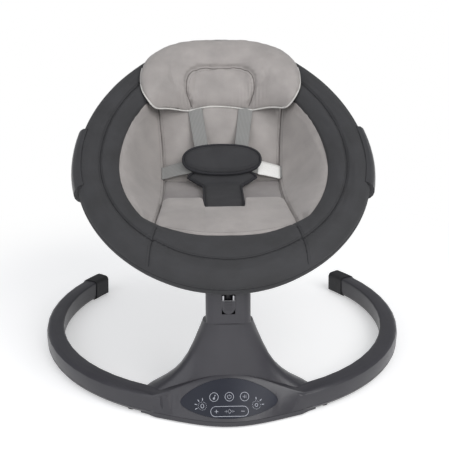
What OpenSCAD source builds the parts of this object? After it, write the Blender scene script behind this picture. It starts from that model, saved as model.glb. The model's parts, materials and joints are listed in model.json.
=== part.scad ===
// Electric baby swing: a C-shaped floor base with a flared pedestal, and a
// padded oval seat ring that turns from side to side on a leaning shaft.
// Millimetres, +Z up, X to the sitter's left and right, -Y to the front.

/* [Floor base] */
// Outer radius of the C-shaped base
base_r = 355; // [335:1:375]
// Width of an arm of the base, seen from above
arm_w = 35; // [32:0.5:42]
// Height of the arms above the floor
base_h = 44; // [40:0.5:50]
// Angle between the middle of the back and the end of each arm
gap_half_angle = 52; // [46:1:60]
// Wall of the moulded shells
shell_wall = 2.6; // [2:0.1:3]
// Height at which the upper and lower base shells meet
seam_z = 12; // [10:0.5:14]
// Length of the rubber sleeve on each arm end
cap_len = 42; // [32:1:50]
// Wall of the rubber sleeve
cap_wall = 1.7; // [1.6:0.1:2]
// Radius of a rubber foot
foot_r = 9; // [7:0.5:10]
// Height of the tray above the floor, on its feet
foot_h = 2.5; // [2:0.1:3.5]

/* [Front housing and pedestal] */
// How far the housing bulges past the base circle
bulge = 12; // [8:0.5:16]
// Height of the arched edge above the control panel
crest_z = 76; // [72:0.5:80]
// Set-back of that edge from the foot of the housing
crest_back = 47; // [42:0.5:50]
// Width of the control panel
panel_w = 166; // [150:1:174]
// Thickness of the control panel lens
lens_t = 1.6; // [1.4:0.1:1.8]
// Half width of the neck under the collar
neck_hw = 38; // [37:0.5:42]
// Half depth of the neck under the collar
neck_hd = 33; // [32.5:0.5:36]
// Height of the neck's top, on the pivot axis
neck_z = 162; // [156:1:168]
// Distance from the base's outer circle back to the pivot axis at the neck's top
neck_front = 75; // [71:1:79]
// Backward lean of the pivot axis
lean = 10; // [8:0.5:12]

/* [Pivot and drive] */
// Radius of the swing shaft in its bearings
shaft_r = 7.45; // [7.3:0.05:7.48]
// Bore radius of the bearings
bearing_bore_r = 7.5; // [7.5:0.05:7.6]
// Outer radius of the bearings
bearing_r = 17.5; // [16:0.5:18]
// Width of a bearing
bearing_w = 11; // [9:0.5:12]
// Wall of the bearing carrier outside the bearings
carrier_wall = 3; // [2.4:0.1:3.2]
// Length of the bearing carrier
carrier_len = 83; // [78:1:86]
// Module of the drive gears
gear_m = 1.5; // [1.5:0.05:1.5]
// Teeth on a full circle of the sector gear
sector_teeth = 54; // [52:2:56]
// Teeth of the drive pinion
pinion_teeth = 18; // [18:2:18]
// Face width of the gears
gear_w = 8; // [6:0.5:8]
// Half angle of the toothed sector
sector_half = 44; // [40:1:48]
// Radius of the gear motor
motor_r = 17; // [14:0.5:18]
// Height of the gear motor
motor_h = 32; // [26:1:34]
// Radius of the post that carries the seat
post_r = 12; // [11:0.25:12.5]

/* [Neck collar] */
// Height of the collar
collar_h = 58; // [54:0.5:59]
// Corner radius of collar and neck
collar_corner = 13; // [10:0.5:15]
// Width of the release button
button_w = 22; // [18:0.5:24]
// Height of the release button
button_h = 24; // [20:0.5:26]
// Travel of the release button
button_travel = 4; // [3:0.25:4.5]

/* [Seat ring] */
// Incline of the seat ring
tilt = 30; // [28:0.5:32]
// Half width of the padded ring
ring_a = 270; // [262:1:278]
// Length of the ring in front of its widest place
ring_front = 290; // [284:1:296]
// Length of the ring behind its widest place
ring_back = 346; // [338:1:354]
// Radius of the ring's front end
front_r = 240; // [234:1:246]
// Radius of the ring's head end
head_r = 190; // [184:1:196]
// Radius of the padded cover
cover_r = 28; // [26:0.5:29]
// Radius of the ring tube
tube_r = 11; // [10:0.25:12]
// Wall of the ring tube
tube_wall = 1.5; // [1.2:0.1:2]
// Distance from the pivot axis at the neck's top forward to the seat's front edge
seat_front = 60; // [56:1:64]
// Height of the ring's front edge
seat_z = 240; // [238:0.5:246]
// Length of a side cover along the ring, each way from the joint
side_len = 74; // [60:1:84]
// How far a side cover stands proud of the padding
side_proud = 8; // [6:0.5:10]

/* [Soft goods] */
// Width of the padded band inside the ring, from the outer edge
band_w = 79; // [74:1:84]
// Extra width of the band at the middle of the front
band_extra = 33; // [24:1:36]
// Depth of the seat under the ring
seat_depth = 105; // [95:1:112]
// Thickness of the seat pads
pad_t = 16; // [12:0.5:18]
// Thickness of the sling under the pads
sling_t = 3; // [2:0.25:4]
// Half width of the back and seat cushions at their narrowest
cushion_hw = 113; // [106:1:116]
// Width of the harness webbing
strap_w = 25; // [20:1:30]
// Thickness of the harness webbing
strap_t = 2; // [1.5:0.1:2.5]
// Width of the belly pad
belly_w = 151; // [140:1:158]
// Height of the belly pad
belly_h = 60; // [54:1:64]
// Thickness of the belly pad
belly_t = 14; // [10:0.5:16]
// Width of the head pillow
pillow_w = 322; // [306:1:328]

/* [Hidden] */

// Running gap between pieces that only lie beside each other
gap = 0.3;
// Gap between a soft piece and what it rests on
soft_gap = 0.4;
// Half of the visible seam between neck and collar
neck_seam = 0.6;
// Fineness of round parts
fine = 72;

// Thickness of a sleeve's end wall, as a turn about the base centre
cap_end_turn = 0.5;

// The pivot axis at the neck's top and the seat's front edge, ahead of the base centre
pivot_front = base_r - neck_front;
seat_reach = pivot_front + seat_front;

// The origin lies under the middle of the overall length
front_y = -(base_r + bulge + 1);
back_y = max(-seat_reach + (ring_front + ring_back - cover_r) * cos(tilt) + cover_r,
    (base_r + cap_wall) * cos(gap_half_angle - cap_end_turn));
base_cy = -(front_y + back_y) / 2;

// Colours
plastic = [0.33, 0.33, 0.35];
dark = [0.13, 0.13, 0.14];
steel = [0.72, 0.72, 0.74];
cloth = [0.28, 0.28, 0.29];
liner = [0.62, 0.60, 0.58];
webbing = [0.52, 0.53, 0.52];

// ---------- frames ----------

module base_frame() translate([0, base_cy, 0]) children();

// Local Z runs up the leaning pivot axis, from the top of the neck
module axis_frame()
    translate([0, base_cy - pivot_front, neck_z]) rotate([-lean, 0, 0]) children();

// Local X across, local Y up the seat from its front edge, local Z out of it
module seat_frame()
    translate([0, base_cy - seat_reach, seat_z]) rotate([tilt, 0, 0]) children();

module both_sides() {
    children();
    mirror([1, 0, 0]) children();
}

// ---------- helpers ----------

function lerp(a, b, t) = a + (b - a) * t;
function clamp01(t) = max(0, min(1, t));
function arc(cx, cy, r, a0, a1, n) =
    [for (i = [0 : n]) let (a = lerp(a0, a1, i / n)) [cx + r * cos(a), cy + r * sin(a)]];

// Rounded rectangle outline, half sizes hx and hy
function round_rect(hx, hy, r, n = 6) = concat(
    arc(hx - r, hy - r, r, 0, 90, n), arc(r - hx, hy - r, r, 90, 180, n),
    arc(r - hx, r - hy, r, 180, 270, n), arc(hx - r, r - hy, r, 270, 360, n));

// Closed solid through a stack of equally long outlines, each of which runs
// clockwise as seen from the far end of the stack
module loft(rings) {
    n = len(rings[0]);
    m = len(rings);
    points = [for (ring = rings) each ring];
    sides = [for (k = [0 : m - 2], i = [0 : n - 1]) let (j = (i + 1) % n)
        each [[k * n + i, k * n + j, (k + 1) * n + j],
            [k * n + i, (k + 1) * n + j, (k + 1) * n + i]]];
    bottom = [[for (i = [n - 1 : -1 : 0]) i]];
    top = [[for (i = [0 : n - 1]) (m - 1) * n + i]];
    polyhedron(points, concat(sides, bottom, top), convexity = 8);
}

// Open-ended pipe between an outer and an inner stack of outlines
module pipe(outer, inner) {
    n = len(outer[0]);
    m = len(outer);
    c = n * m;
    walls = [for (k = [0 : m - 2], i = [0 : n - 1]) let (j = (i + 1) % n)
        each [[k * n + i, k * n + j, (k + 1) * n + j],
            [k * n + i, (k + 1) * n + j, (k + 1) * n + i],
            [c + k * n + j, c + k * n + i, c + (k + 1) * n + i],
            [c + k * n + j, c + (k + 1) * n + i, c + (k + 1) * n + j]]];
    ends = [for (i = [0 : n - 1]) let (j = (i + 1) % n, e = (m - 1) * n)
        each [[j, i, c + i], [j, c + i, c + j],
            [e + i, e + j, c + e + j], [e + i, c + e + j, c + e + i]]];
    polyhedron(concat([for (r = outer) each r], [for (r = inner) each r]),
        concat(walls, ends), convexity = 8);
}

// Closed ring through a cycle of equally long outlines
module loop(rings) {
    n = len(rings[0]);
    m = len(rings);
    polyhedron([for (r = rings) each r], [for (k = [0 : m - 1], i = [0 : n - 1])
        let (j = (i + 1) % n, q = (k + 1) % m)
        each [[k * n + i, k * n + j, q * n + j], [k * n + i, q * n + j, q * n + i]]],
        convexity = 8);
}

// Closed pad between two surfaces given on the same grid of rows
module sheet_solid(upper, lower) {
    rows = len(upper);
    cols = len(upper[0]);
    count = rows * cols;
    points = concat([for (r = upper) each r], [for (r = lower) each r]);
    tops = [for (i = [0 : rows - 2], j = [0 : cols - 2]) let (a = i * cols + j)
        each [[a, a + 1, a + cols + 1], [a, a + cols + 1, a + cols]]];
    bottoms = [for (f = tops) [f[0] + count, f[2] + count, f[1] + count]];
    rim = concat([for (j = [0 : cols - 2]) [j, j + 1]],
        [for (i = [0 : rows - 2]) [i * cols + cols - 1, (i + 1) * cols + cols - 1]],
        [for (j = [cols - 1 : -1 : 1])
            [(rows - 1) * cols + j, (rows - 1) * cols + j - 1]],
        [for (i = [rows - 1 : -1 : 1]) [i * cols, (i - 1) * cols]]);
    walls = [for (e = rim) each [[e[1], e[0], e[0] + count],
        [e[1], e[0] + count, e[1] + count]]];
    polyhedron(points, [for (f = concat(tops, bottoms, walls)) [f[0], f[2], f[1]]],
        convexity = 8);
}

// ---------- base ----------

arm_sweep = 360 - 2 * gap_half_angle;
base_ri = base_r - arm_w;

// Cross-section of an arm above the height z0, shrunk by d on every side
function arm_outline(z0, d) = concat(
    [[base_ri + 1.5 + d, z0]],
    arc(base_ri + 6, base_h - 6.5, 6 - d, 180, 90, 3),
    arc(base_r - 12, base_h - 12.5, 12 - d, 88, 32, 3),
    [[base_r - d, base_h - 14], [base_r - 1 - d, z0]]);

// Cross-section of the tray under an arm, shrunk by d on every side
function tray_outline(z1, d) = [[base_r - 1 - d, z1], [base_r - 3 - d, foot_h + 5],
    [base_r - 9 - d, foot_h + d], [base_ri + 8 + d, foot_h + d],
    [base_ri + 3 + d, foot_h + 4], [base_ri + 1.5 + d, z1]];

module arm_sweep_of(start = 90 + gap_half_angle, sweep = arm_sweep)
    rotate([0, 0, start]) rotate_extrude(angle = sweep, $fn = 56) children();

// Pivot axis in the base frame
function axis_y(z) = -pivot_front + (z - neck_z) * tan(lean);

flare_span = neck_z + 10 - 40;
function flare_t(z) = max(0, (neck_z + 10 - z) / flare_span);
function flare_hw(z) = let (t = min(1.06, flare_t(z))) neck_hw + 55 * t + 42 * pow(t, 5);
function flare_back(z) = neck_hd + 58 * pow(flare_t(z), 0.85);
function flare_front(z) =
    lerp(neck_hd - 8, neck_hd, pow(clamp01((z - 80) / (neck_z - 80)), 1.5));
function flare_power(z) = lerp(1, 0.72, clamp01((z - 90) / 80));

// One level of the pedestal, shrunk by d
function flare_ring(z, d, n) = [for (i = [0 : n - 1])
    let (a = -360 * i / n, p = flare_power(z), c = cos(a), s = sin(a),
        px = sign(c) * pow(abs(c), p), py = sign(s) * pow(abs(s), p),
        depth = (s > 0 ? flare_back(z) : flare_front(z)) - d)
    [(flare_hw(z) - d) * px, axis_y(z) + depth * py, z]];

flare_levels = [0, 0.13, 0.21, 0.3, 0.4, 0.52, 0.66, 0.82, 1];
module flare(z0, z1, d, n) loft([for (t = flare_levels) flare_ring(lerp(z0, z1, t), d, n)]);

// Front face of the housing: foot line, arched crest and the face between
bulge_half = 130;
crest_half = 142;
function hump(x, half, power = 2) = abs(x) < half ? pow(cos(90 * x / half), power) : 0;
// The housing stands just proud of the arms, and dives into them at its ends
function foot_y(x) = -sqrt(base_r * base_r - x * x) - bulge * hump(x, bulge_half)
    - lerp(1, -5, clamp01((abs(x) - bulge_half) / (crest_half - bulge_half)));
function crest_height(x) = base_h - 4 + (crest_z - base_h + 4) * hump(x, crest_half, 1.4);
function crest_y(x) = foot_y(x) + 1 + (crest_back - 1) * hump(x, crest_half, 1.4);
function face_slope() = atan2(crest_z - seam_z, crest_back);
// Point of the front face at x and share k of its height, raised by h
function face_point(x, k, h) =
    let (turn = asin(x / (base_r + 60)), s = face_slope())
    [x + h * sin(turn) * sin(s),
        lerp(foot_y(x), crest_y(x), k) - h * cos(turn) * sin(s),
        lerp(seam_z, crest_height(x), k) + h * cos(s)];

visor_back = 15;
// Front housing above the height z0, shrunk by d
module visor(z0, d, n) loft([for (i = [0 : n])
    let (x = lerp(-crest_half + 2 * d, crest_half - 2 * d, i / n),
        f = foot_y(x) + d * 1.1, cy = crest_y(x) + d * 0.6, cz = crest_height(x) - d * 1.3)
    [[x, f, z0], [x, lerp(f, cy, 0.93), lerp(seam_z, cz, 0.95)], [x, cy + 1, cz],
        [x, cy + visor_back, cz - 1], [x, cy + visor_back, z0]]]);

// Space in front of that face, set back by d, which the arms stay out of
arm_fade = 113;
arm_set_back = 1.5;
module face_space(d) loft([for (i = [0 : 16])
    let (x = lerp(-bulge_half, bulge_half, i / 16),
        y = d + arm_set_back - 10 * clamp01((abs(x) - arm_fade) / (bulge_half - arm_fade)),
        f = foot_y(x) + y, c = crest_y(x) + y, rise = crest_height(x) - seam_z)
    [[x, -base_r - 60, seam_z - 3], [x, -base_r - 60, crest_z],
        [x, lerp(f, c, (crest_z - seam_z) / rise), crest_z],
        [x, lerp(f, c, -3 / rise), seam_z - 3]]]);

// Half space above the neck's top, on the pivot axis
module above_neck(z = 0) axis_frame() translate([-200, -200, z]) cube([400, 400, 200]);

// Outline of the panel, as a share of the face's height against x
lens_mid = 0.5;
lens_half = 0.43;
function lens_grid(h, grow, rows = 3, cols = 18) = [for (i = [0 : rows]) [for (j = [0 : cols])
    let (u = -cos(180 * j / cols), half = pow(max(0, 1 - pow(abs(u), 2.4)), 0.5),
        x = u * (panel_w / 2 + grow),
        k = lens_mid + lerp(-1, 1, i / rows) * max(0.02, lens_half * half + grow / 70))
    face_point(x, k, h)]];

module lens_solid(h1, h0, grow) sheet_solid(lens_grid(h1, grow), lens_grid(h0, grow));

lens_proud = 0.2;
lens_back = lens_proud - lens_t;
// How far the ledge under the lens reaches inward
lens_ledge = 8;

// Inlet, square to the back wall of the foot
jack_z = 30;
jack_r = 6;
jack_y = axis_y(jack_z) + flare_back(jack_z);
jack_lean = 11;
jack_flange = 1.5;
module jack_frame() translate([0, jack_y, jack_z]) rotate([-90 + jack_lean, 0, 0]) children();
// Distance from the pivot axis back to the middle of the speaker's grille
grille_back = 22;
grille_y = grille_back - pivot_front;

// Screw bosses of the two shells, round the middle line of the arms
screw_angles = [156, 190, 222, 318, 350, 384];
boss_wall = 2.2;
base_screw_r = 1.5;
base_screw_head = 3;
base_screw_seat = foot_h + 4.6;
base_screw_len = 11;
module screw_places() for (a = screw_angles)
    rotate([0, 0, a]) translate([base_r - arm_w / 2, 0, 0]) children();
// Pattern of the four screws under the neck's top
carrier_screw_place = 24.4;
carrier_screw_r = 1.5;
module carrier_places() for (a = [45 : 90 : 359])
    rotate([0, 0, a]) translate([carrier_screw_place, 0, 0]) children();
// Underside of the neck's top, on the pivot axis
neck_under = -neck_seam - shell_wall - 0.4;

// The whole moulding is one mesh, because its faces flow into each other
module base_upper_shell() color(plastic) resize([0, 0, 0]) base_frame() difference() {
    union() {
        difference() {
            union() {
                difference() {
                    arm_sweep_of() polygon(arm_outline(seam_z, 0));
                    face_space(0);
                }
                difference() {
                    flare(seam_z, neck_z + 12, 0, 40);
                    translate([0, -base_cy, 0]) above_neck(-neck_seam);
                }
                visor(seam_z, 0, 24);
            }
            difference() {
                arm_sweep_of(90 + gap_half_angle - 1, arm_sweep + 2)
                    polygon(arm_outline(seam_z - 1, shell_wall));
                face_space(shell_wall);
            }
            difference() {
                flare(seam_z - 1, neck_z + 12, shell_wall, 24);
                translate([0, -base_cy, 0]) above_neck(neck_under);
            }
            visor(seam_z - 1, shell_wall, 12);
        }
        screw_places() translate([0, 0, seam_z]) cylinder(r = base_screw_r + boss_wall,
            h = base_h - seam_z - shell_wall + 0.6, $fn = 12);
    }
    screw_places() translate([0, 0, seam_z - 1])
        cylinder(r = base_screw_r + 0.05, h = base_screw_len, $fn = 12);
    lens_solid(4, lens_back - 0.02, gap);
    lens_solid(1, -shell_wall * 2, -lens_ledge);
    translate([0, -base_cy, 0]) axis_frame() {
        translate([0, 0, -20])
            cylinder(r = bearing_r + carrier_wall + gap, h = 30, $fn = 48);
        carrier_places() translate([0, 0, neck_under - 1])
            cylinder(r = carrier_screw_r + 0.05, h = 2.6, $fn = 12);
    }
    jack_frame() translate([0, 0, -15]) cylinder(r = jack_r + gap, h = 30, $fn = 32);
}

// Plan outline of the foot, shrunk by d
function foot_plan(d) = let (n = 24, w = flare_hw(seam_z) - d) concat(
    [for (i = [0 : n]) let (x = lerp(-w, w, i / n)) [x, foot_y(x) + d]],
    [for (i = [0 : n]) let (a = 180 * i / n)
        [w * cos(a), axis_y(seam_z) + (flare_back(seam_z) - d) * sin(a)]]);

// The foot's floor lies a little above the arms' floor
foot_floor = foot_h + 0.6;
module base_lower_shell() color(plastic) base_frame() difference() {
    union() {
        difference() {
            union() {
                arm_sweep_of() polygon(tray_outline(seam_z - gap, 0));
                translate([0, 0, foot_floor]) linear_extrude(seam_z - 2 * gap - foot_floor)
                    polygon(foot_plan(0));
            }
            arm_sweep_of(90 + gap_half_angle - 1, arm_sweep + 2)
                polygon(tray_outline(seam_z + 1, shell_wall));
            translate([0, 0, foot_floor + shell_wall]) linear_extrude(seam_z)
                polygon(foot_plan(shell_wall));
        }
        screw_places() translate([0, 0, foot_h + 1])
            cylinder(r = base_screw_head + boss_wall, h = seam_z - foot_h - 1.6, $fn = fine);
    }
    screw_places() {
        translate([0, 0, foot_h - 1]) cylinder(r = base_screw_head + gap,
            h = base_screw_seat - foot_h + 1, $fn = fine);
        cylinder(r = base_screw_r + gap, h = seam_z + 1, $fn = fine);
    }
    for (x = [-24 : 8 : 24]) translate([x - 1.5, grille_y - 22, foot_h - 1])
        cube([3, 44, shell_wall + 4]);
}

// Outline of an arm and its tray together, grown by d, standing on z0
function sleeve_outline(d, z0) = concat([[base_r - 9, z0], [base_r - 3 + d, z0 + 5],
        [base_r - 1 + d, z0 + 9.5], [base_r + d, base_h - 14]],
    arc(base_r - 12, base_h - 12.5, 12 + d, 32, 88, 4),
    arc(base_ri + 6, base_h - 6.5, 6 + d, 90, 180, 4),
    [[base_ri + 1.5 - d, z0 + 5], [base_ri + 8, z0]]);

cap_gap = 0.7;
module tip_cap() color(dark) base_frame() difference() {
    turn = cap_len / (base_r - arm_w / 2) * 180 / PI;
    arm_sweep_of(90 + gap_half_angle - cap_end_turn, turn)
        polygon(sleeve_outline(cap_wall, 0));
    arm_sweep_of(90 + gap_half_angle - 0.05, turn + 1)
        polygon(sleeve_outline(cap_gap, foot_h - gap));
}
module tip_cap_left() tip_cap();
module tip_cap_right() mirror([1, 0, 0]) tip_cap();

foot_angles = [170, 205, 240, 270, 300, 335, 370];
module rubber_feet() color(dark) base_frame() for (a = foot_angles)
    rotate([0, 0, a]) translate([base_r - arm_w / 2, 0, 0])
        cylinder(r1 = foot_r - 1, r2 = foot_r, h = foot_h, $fn = fine);

module control_lens() color([0.16, 0.18, 0.23]) base_frame()
    lens_solid(lens_proud, lens_back, 0);

// Flexible touch board behind the ledge, with the lens's curve
board_face = -3.4;
board_t = 1;
module control_board() color([0.1, 0.3, 0.18]) base_frame()
    lens_solid(board_face, board_face - board_t, -lens_ledge / 2);

module speaker() color(dark) base_frame() translate([0, grille_y, foot_floor + shell_wall]) {
    cylinder(r = 16, h = 4, $fn = fine);
    cylinder(r = 10, h = 8, $fn = fine);
}

module power_jack() color(dark) base_frame() jack_frame() difference() {
    union() {
        translate([0, 0, -10]) cylinder(r = jack_r, h = 10.5, $fn = fine);
        translate([0, 0, 0.2]) cylinder(r = jack_r + 2, h = jack_flange, $fn = fine);
    }
    translate([0, 0, -7]) cylinder(r = 2.8, h = 10, $fn = fine);
}

// ---------- pivot and drive ----------

pitch_r = gear_m * sector_teeth / 2;
pinion_pitch_r = gear_m * pinion_teeth / 2;
pinion_y = pitch_r + pinion_pitch_r;
carrier_top = -neck_seam - 0.2;
carrier_bottom = carrier_top - carrier_len;
gear_top = carrier_bottom - 2;
gear_bottom = gear_top - gear_w;
motor_top = gear_bottom - 6;

module bearing_carrier() color(steel) axis_frame() difference() {
    union() {
        translate([0, 0, carrier_bottom])
            cylinder(r = bearing_r + carrier_wall, h = carrier_len, $fn = fine);
        translate([0, 0, neck_under - 4]) cylinder(r = 28, h = 4, $fn = fine);
    }
    translate([0, 0, carrier_bottom - 1]) cylinder(r = bearing_r - 3, h = 120, $fn = fine);
    translate([0, 0, carrier_bottom - 1])
        cylinder(r = bearing_r + 0.02, h = bearing_w + 1, $fn = fine);
    translate([0, 0, carrier_top - bearing_w])
        cylinder(r = bearing_r + 0.02, h = bearing_w + 1, $fn = fine);
    carrier_places() translate([0, 0, -12])
        cylinder(r = carrier_screw_r + 0.1, h = 20, $fn = 24);
}

module bearing() difference() {
    cylinder(r = bearing_r, h = bearing_w, $fn = fine);
    translate([0, 0, -1]) cylinder(r = bearing_bore_r, h = bearing_w + 2, $fn = fine);
    for (z = [-1, bearing_w - 0.8]) translate([0, 0, z]) difference() {
        cylinder(r = bearing_r - 2.5, h = 1.8, $fn = fine);
        translate([0, 0, -1]) cylinder(r = bearing_bore_r + 2.5, h = 4, $fn = fine);
    }
}
module bearing_upper() color(steel) axis_frame()
    translate([0, 0, carrier_top - bearing_w]) bearing();
module bearing_lower() color(steel) axis_frame()
    translate([0, 0, carrier_bottom]) bearing();

// Screw with a pan head, pointing up from its head's underside at z 0
module screw(r, len_, head_r, head_h) {
    cylinder(r = r, h = len_, $fn = 24);
    translate([0, 0, -head_h]) cylinder(r = head_r, h = head_h, $fn = 24);
}

module carrier_screws() color(steel) axis_frame() carrier_places()
    translate([0, 0, neck_under - 4]) screw(carrier_screw_r, 5.4, 3, 2);

module base_screws() color(steel) base_frame() screw_places()
    translate([0, 0, base_screw_seat])
        screw(base_screw_r, base_screw_len - 1.4, base_screw_head, 2);

// Involute tooth outline for a gear of z teeth; b is the backlash
function inv_angle(r, rb) = r <= rb ? 0 : let (t = sqrt(r * r / (rb * rb) - 1))
    t * 180 / PI - atan(t);
function tooth(z, m, k, b) = let (rp = m * z / 2, rb = rp * cos(20), ra = rp + m * 0.98,
    rf = rp - 1.25 * m, half = 90 / z - b / (2 * rp) * 180 / PI + inv_angle(rp, rb),
    lo = max(rf, rb), mid = 360 * k / z)
    concat([for (r = [rf, lo, lerp(lo, ra, 0.35), lerp(lo, ra, 0.7), ra])
            let (a = mid - half + inv_angle(r, rb)) [r * cos(a), r * sin(a)]],
        [for (r = [ra, lerp(lo, ra, 0.7), lerp(lo, ra, 0.35), lo, rf])
            let (a = mid + half - inv_angle(r, rb)) [r * cos(a), r * sin(a)]]);

sector_count = floor(sector_half / (360 / sector_teeth));
gear_backlash = 0.3;
module sector_gear() color(steel) axis_frame() translate([0, 0, gear_bottom]) difference() {
    union() {
        rotate([0, 0, 90]) linear_extrude(gear_w) polygon(concat([[0, 0]],
            [for (k = [-sector_count : sector_count])
                each tooth(sector_teeth, gear_m, k, gear_backlash)]));
        cylinder(r = 13, h = gear_w, $fn = fine);
    }
    translate([0, 0, -1]) cylinder(r = shaft_r + 0.02, h = 20, $fn = fine);
    for (a = [-26, 0, 26]) rotate([0, 0, a]) translate([0, 26, -1])
        cylinder(r = 5, h = 20, $fn = 48);
}

module drive_pinion() color(steel) axis_frame() translate([0, pinion_y, gear_bottom]) {
    rotate([0, 0, 90 + 180 / pinion_teeth]) linear_extrude(gear_w)
        polygon([for (k = [0 : pinion_teeth - 1])
            each tooth(pinion_teeth, gear_m, k, gear_backlash)]);
    translate([0, 0, motor_top - gear_bottom - 8])
        cylinder(r = 3, h = gear_bottom - motor_top + 8, $fn = fine);
}

module gear_motor() color(steel) axis_frame()
    translate([0, pinion_y, motor_top - motor_h]) difference() {
        union() {
            cylinder(r = motor_r, h = motor_h - 3, $fn = fine);
            cylinder(r = motor_r - 6, h = motor_h, $fn = fine);
        }
        translate([0, 0, motor_h - 9]) cylinder(r = 3.05, h = 10, $fn = fine);
    }

// Plate over the motor, on two legs that stand on the tray
module motor_bracket() color(plastic) intersection() {
    axis_frame() difference() {
        union() {
            translate([0, pinion_y, motor_top - 3 + gap]) linear_extrude(2.6)
                polygon(round_rect(54, 15, 6));
            both_sides() translate([46, pinion_y, motor_top - 60])
                cylinder(r = 5, h = 58, $fn = 32);
        }
        translate([0, pinion_y, motor_top - 20])
            cylinder(r = motor_r - 6 + gap, h = 40, $fn = fine);
    }
    translate([-200, -400, foot_floor + shell_wall]) cube([400, 800, 200]);
}

module shaft_ring() color(steel) axis_frame() translate([0, 0, gear_bottom - 1.6])
    difference() {
        cylinder(r = 11, h = 1.3, $fn = fine);
        translate([0, 0, -1]) cylinder(r = shaft_r - 1, h = 4, $fn = fine);
        translate([-3, 0, -1]) cube([6, 20, 4]);
    }

shaft_foot = gear_bottom - 3.4;
post_top = collar_h - 12;
module swing_shaft() color(steel) axis_frame() difference() {
    union() {
        translate([0, 0, shaft_foot]) cylinder(r = shaft_r, h = -shaft_foot, $fn = fine);
        translate([0, 0, carrier_top + gap]) cylinder(r = 10, h = 3, $fn = fine);
        translate([0, 0, neck_seam + 1.4]) cylinder(r = post_r, h = post_top - 4, $fn = fine);
        translate([0, 0, neck_seam + 1.4 + post_top - 4])
            cylinder(r1 = post_r, r2 = post_r - 2, h = 2, $fn = fine);
    }
    translate([0, 0, gear_bottom - 1.7]) difference() {
        cylinder(r = 20, h = 1.5, $fn = fine);
        translate([0, 0, -1]) cylinder(r = shaft_r - 1.1, h = 4, $fn = fine);
    }
    // Groove for the latch
    translate([0, 0, latch_z - 0.5]) difference() {
        cylinder(r = 20, h = latch_t + 1, $fn = fine);
        translate([0, 0, -1]) cylinder(r = post_r - 3, h = 10, $fn = fine);
    }
}

// ---------- neck collar and release ----------

collar_wall = 3;
window_z = 17;
window_h = button_h + 10;

module collar_block(d, z0, z1) translate([0, 0, z0]) linear_extrude(z1 - z0)
    polygon(round_rect(neck_hw - d, neck_hd - d, collar_corner - d));

module neck_collar() color(plastic) axis_frame() difference() {
    union() {
        difference() {
            collar_block(0, neck_seam, collar_h);
            collar_block(collar_wall, neck_seam + collar_wall, collar_h + 1);
        }
        translate([0, 0, neck_seam]) cylinder(r = post_r + 4, h = collar_h - 8, $fn = fine);
        translate([-neck_hw + 1, -1.25, neck_seam]) cube([2 * neck_hw - 2, 2.5, collar_h - 10]);
        translate([-1.25, 0, neck_seam]) cube([2.5, neck_hd - 1, collar_h - 10]);
        both_sides() translate([neck_hw - 11, 0, neck_seam])
            cylinder(r = 5, h = collar_h - neck_seam, $fn = 48);
    }
    translate([0, 0, -1]) cylinder(r = post_r + 0.05, h = post_top + neck_seam + 1, $fn = fine);
    // Window of the release button
    translate([-button_w / 2 - gap, -neck_hd - 5, window_z]) cube([button_w + 2 * gap, 12, window_h]);
    // Slot in which the latch plate slides
    translate([-latch_hw - 0.6, -neck_hd + collar_wall, latch_z - gap])
        cube([2 * latch_hw + 1.2, neck_hd + latch_back + button_travel - collar_wall + 1,
            latch_t + 2 * gap]);
    both_sides() translate([neck_hw - 11, 0, collar_h - 16]) cylinder(r = 2, h = 20, $fn = 32);
}

// U-shaped button with a ribbed face
module release_button() color(plastic) axis_frame() {
    rotate([90, 0, 0]) translate([0, 0, neck_hd - collar_wall - gap]) linear_extrude(3.9)
        polygon(concat([[-button_w / 2, window_z + gap + button_h - 2],
                [-button_w / 2, window_z + gap + 9]],
            arc(0, window_z + gap + button_w / 2, button_w / 2, 190, 350, 12),
            [[button_w / 2, window_z + gap + 9],
                [button_w / 2, window_z + gap + button_h - 2]]));
    for (z = [24 : 3 : 36]) translate([-6, -neck_hd - 1.2, z]) cube([12, 1, 1.2]);
}

latch_z = 27;
latch_t = 2;
latch_hw = 14;
// The far edge of the plate's opening rests in the shaft's groove
latch_far = post_r - 2;
latch_back = latch_far + 4.5;
latch_clear = post_r + 0.6;
latch_front = neck_hd - collar_wall - gap;
// Steel plate round the shaft, with an upstand and two prongs behind the button
module latch_plate() color(steel) axis_frame() {
    translate([0, 0, latch_z]) linear_extrude(latch_t) difference() {
        polygon([[-latch_hw, -latch_front], [latch_hw, -latch_front], [latch_hw, 6],
            [8, latch_back], [-8, latch_back], [-latch_hw, 6]]);
        polygon(concat(arc(0, latch_far - latch_clear, latch_clear, 0, 180, 24),
            arc(0, latch_clear - post_r - 0.6 - button_travel, latch_clear, 180, 360, 24)));
    }
    translate([-latch_hw + 1, -latch_front, latch_z]) cube([2 * latch_hw - 2, 1.6, 13]);
    both_sides() translate([7.4, -latch_front, latch_z]) cube([2.6, 1.6, 21]);
}

spring_turns = 3;
spring_r = 3.6;
wire_r = 0.45;
// Coil behind the button, drawn at its length when the button is pressed
module release_spring() color(steel) axis_frame() {
    y0 = -latch_front + 1.7 + wire_r;
    y1 = -post_r - 4 - button_travel - wire_r - gap;
    steps = spring_turns * 10;
    loft([for (i = [0 : steps]) let (t = i / steps, a = 360 * spring_turns * t,
            y = lerp(y0, y1, t))
        [for (j = [0 : 3]) let (b = -90 * j, rr = spring_r + wire_r * cos(b))
            [rr * cos(a), y + wire_r * sin(b), 34.4 + rr * sin(a)]]]);
}

// ---------- seat ring ----------

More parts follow.
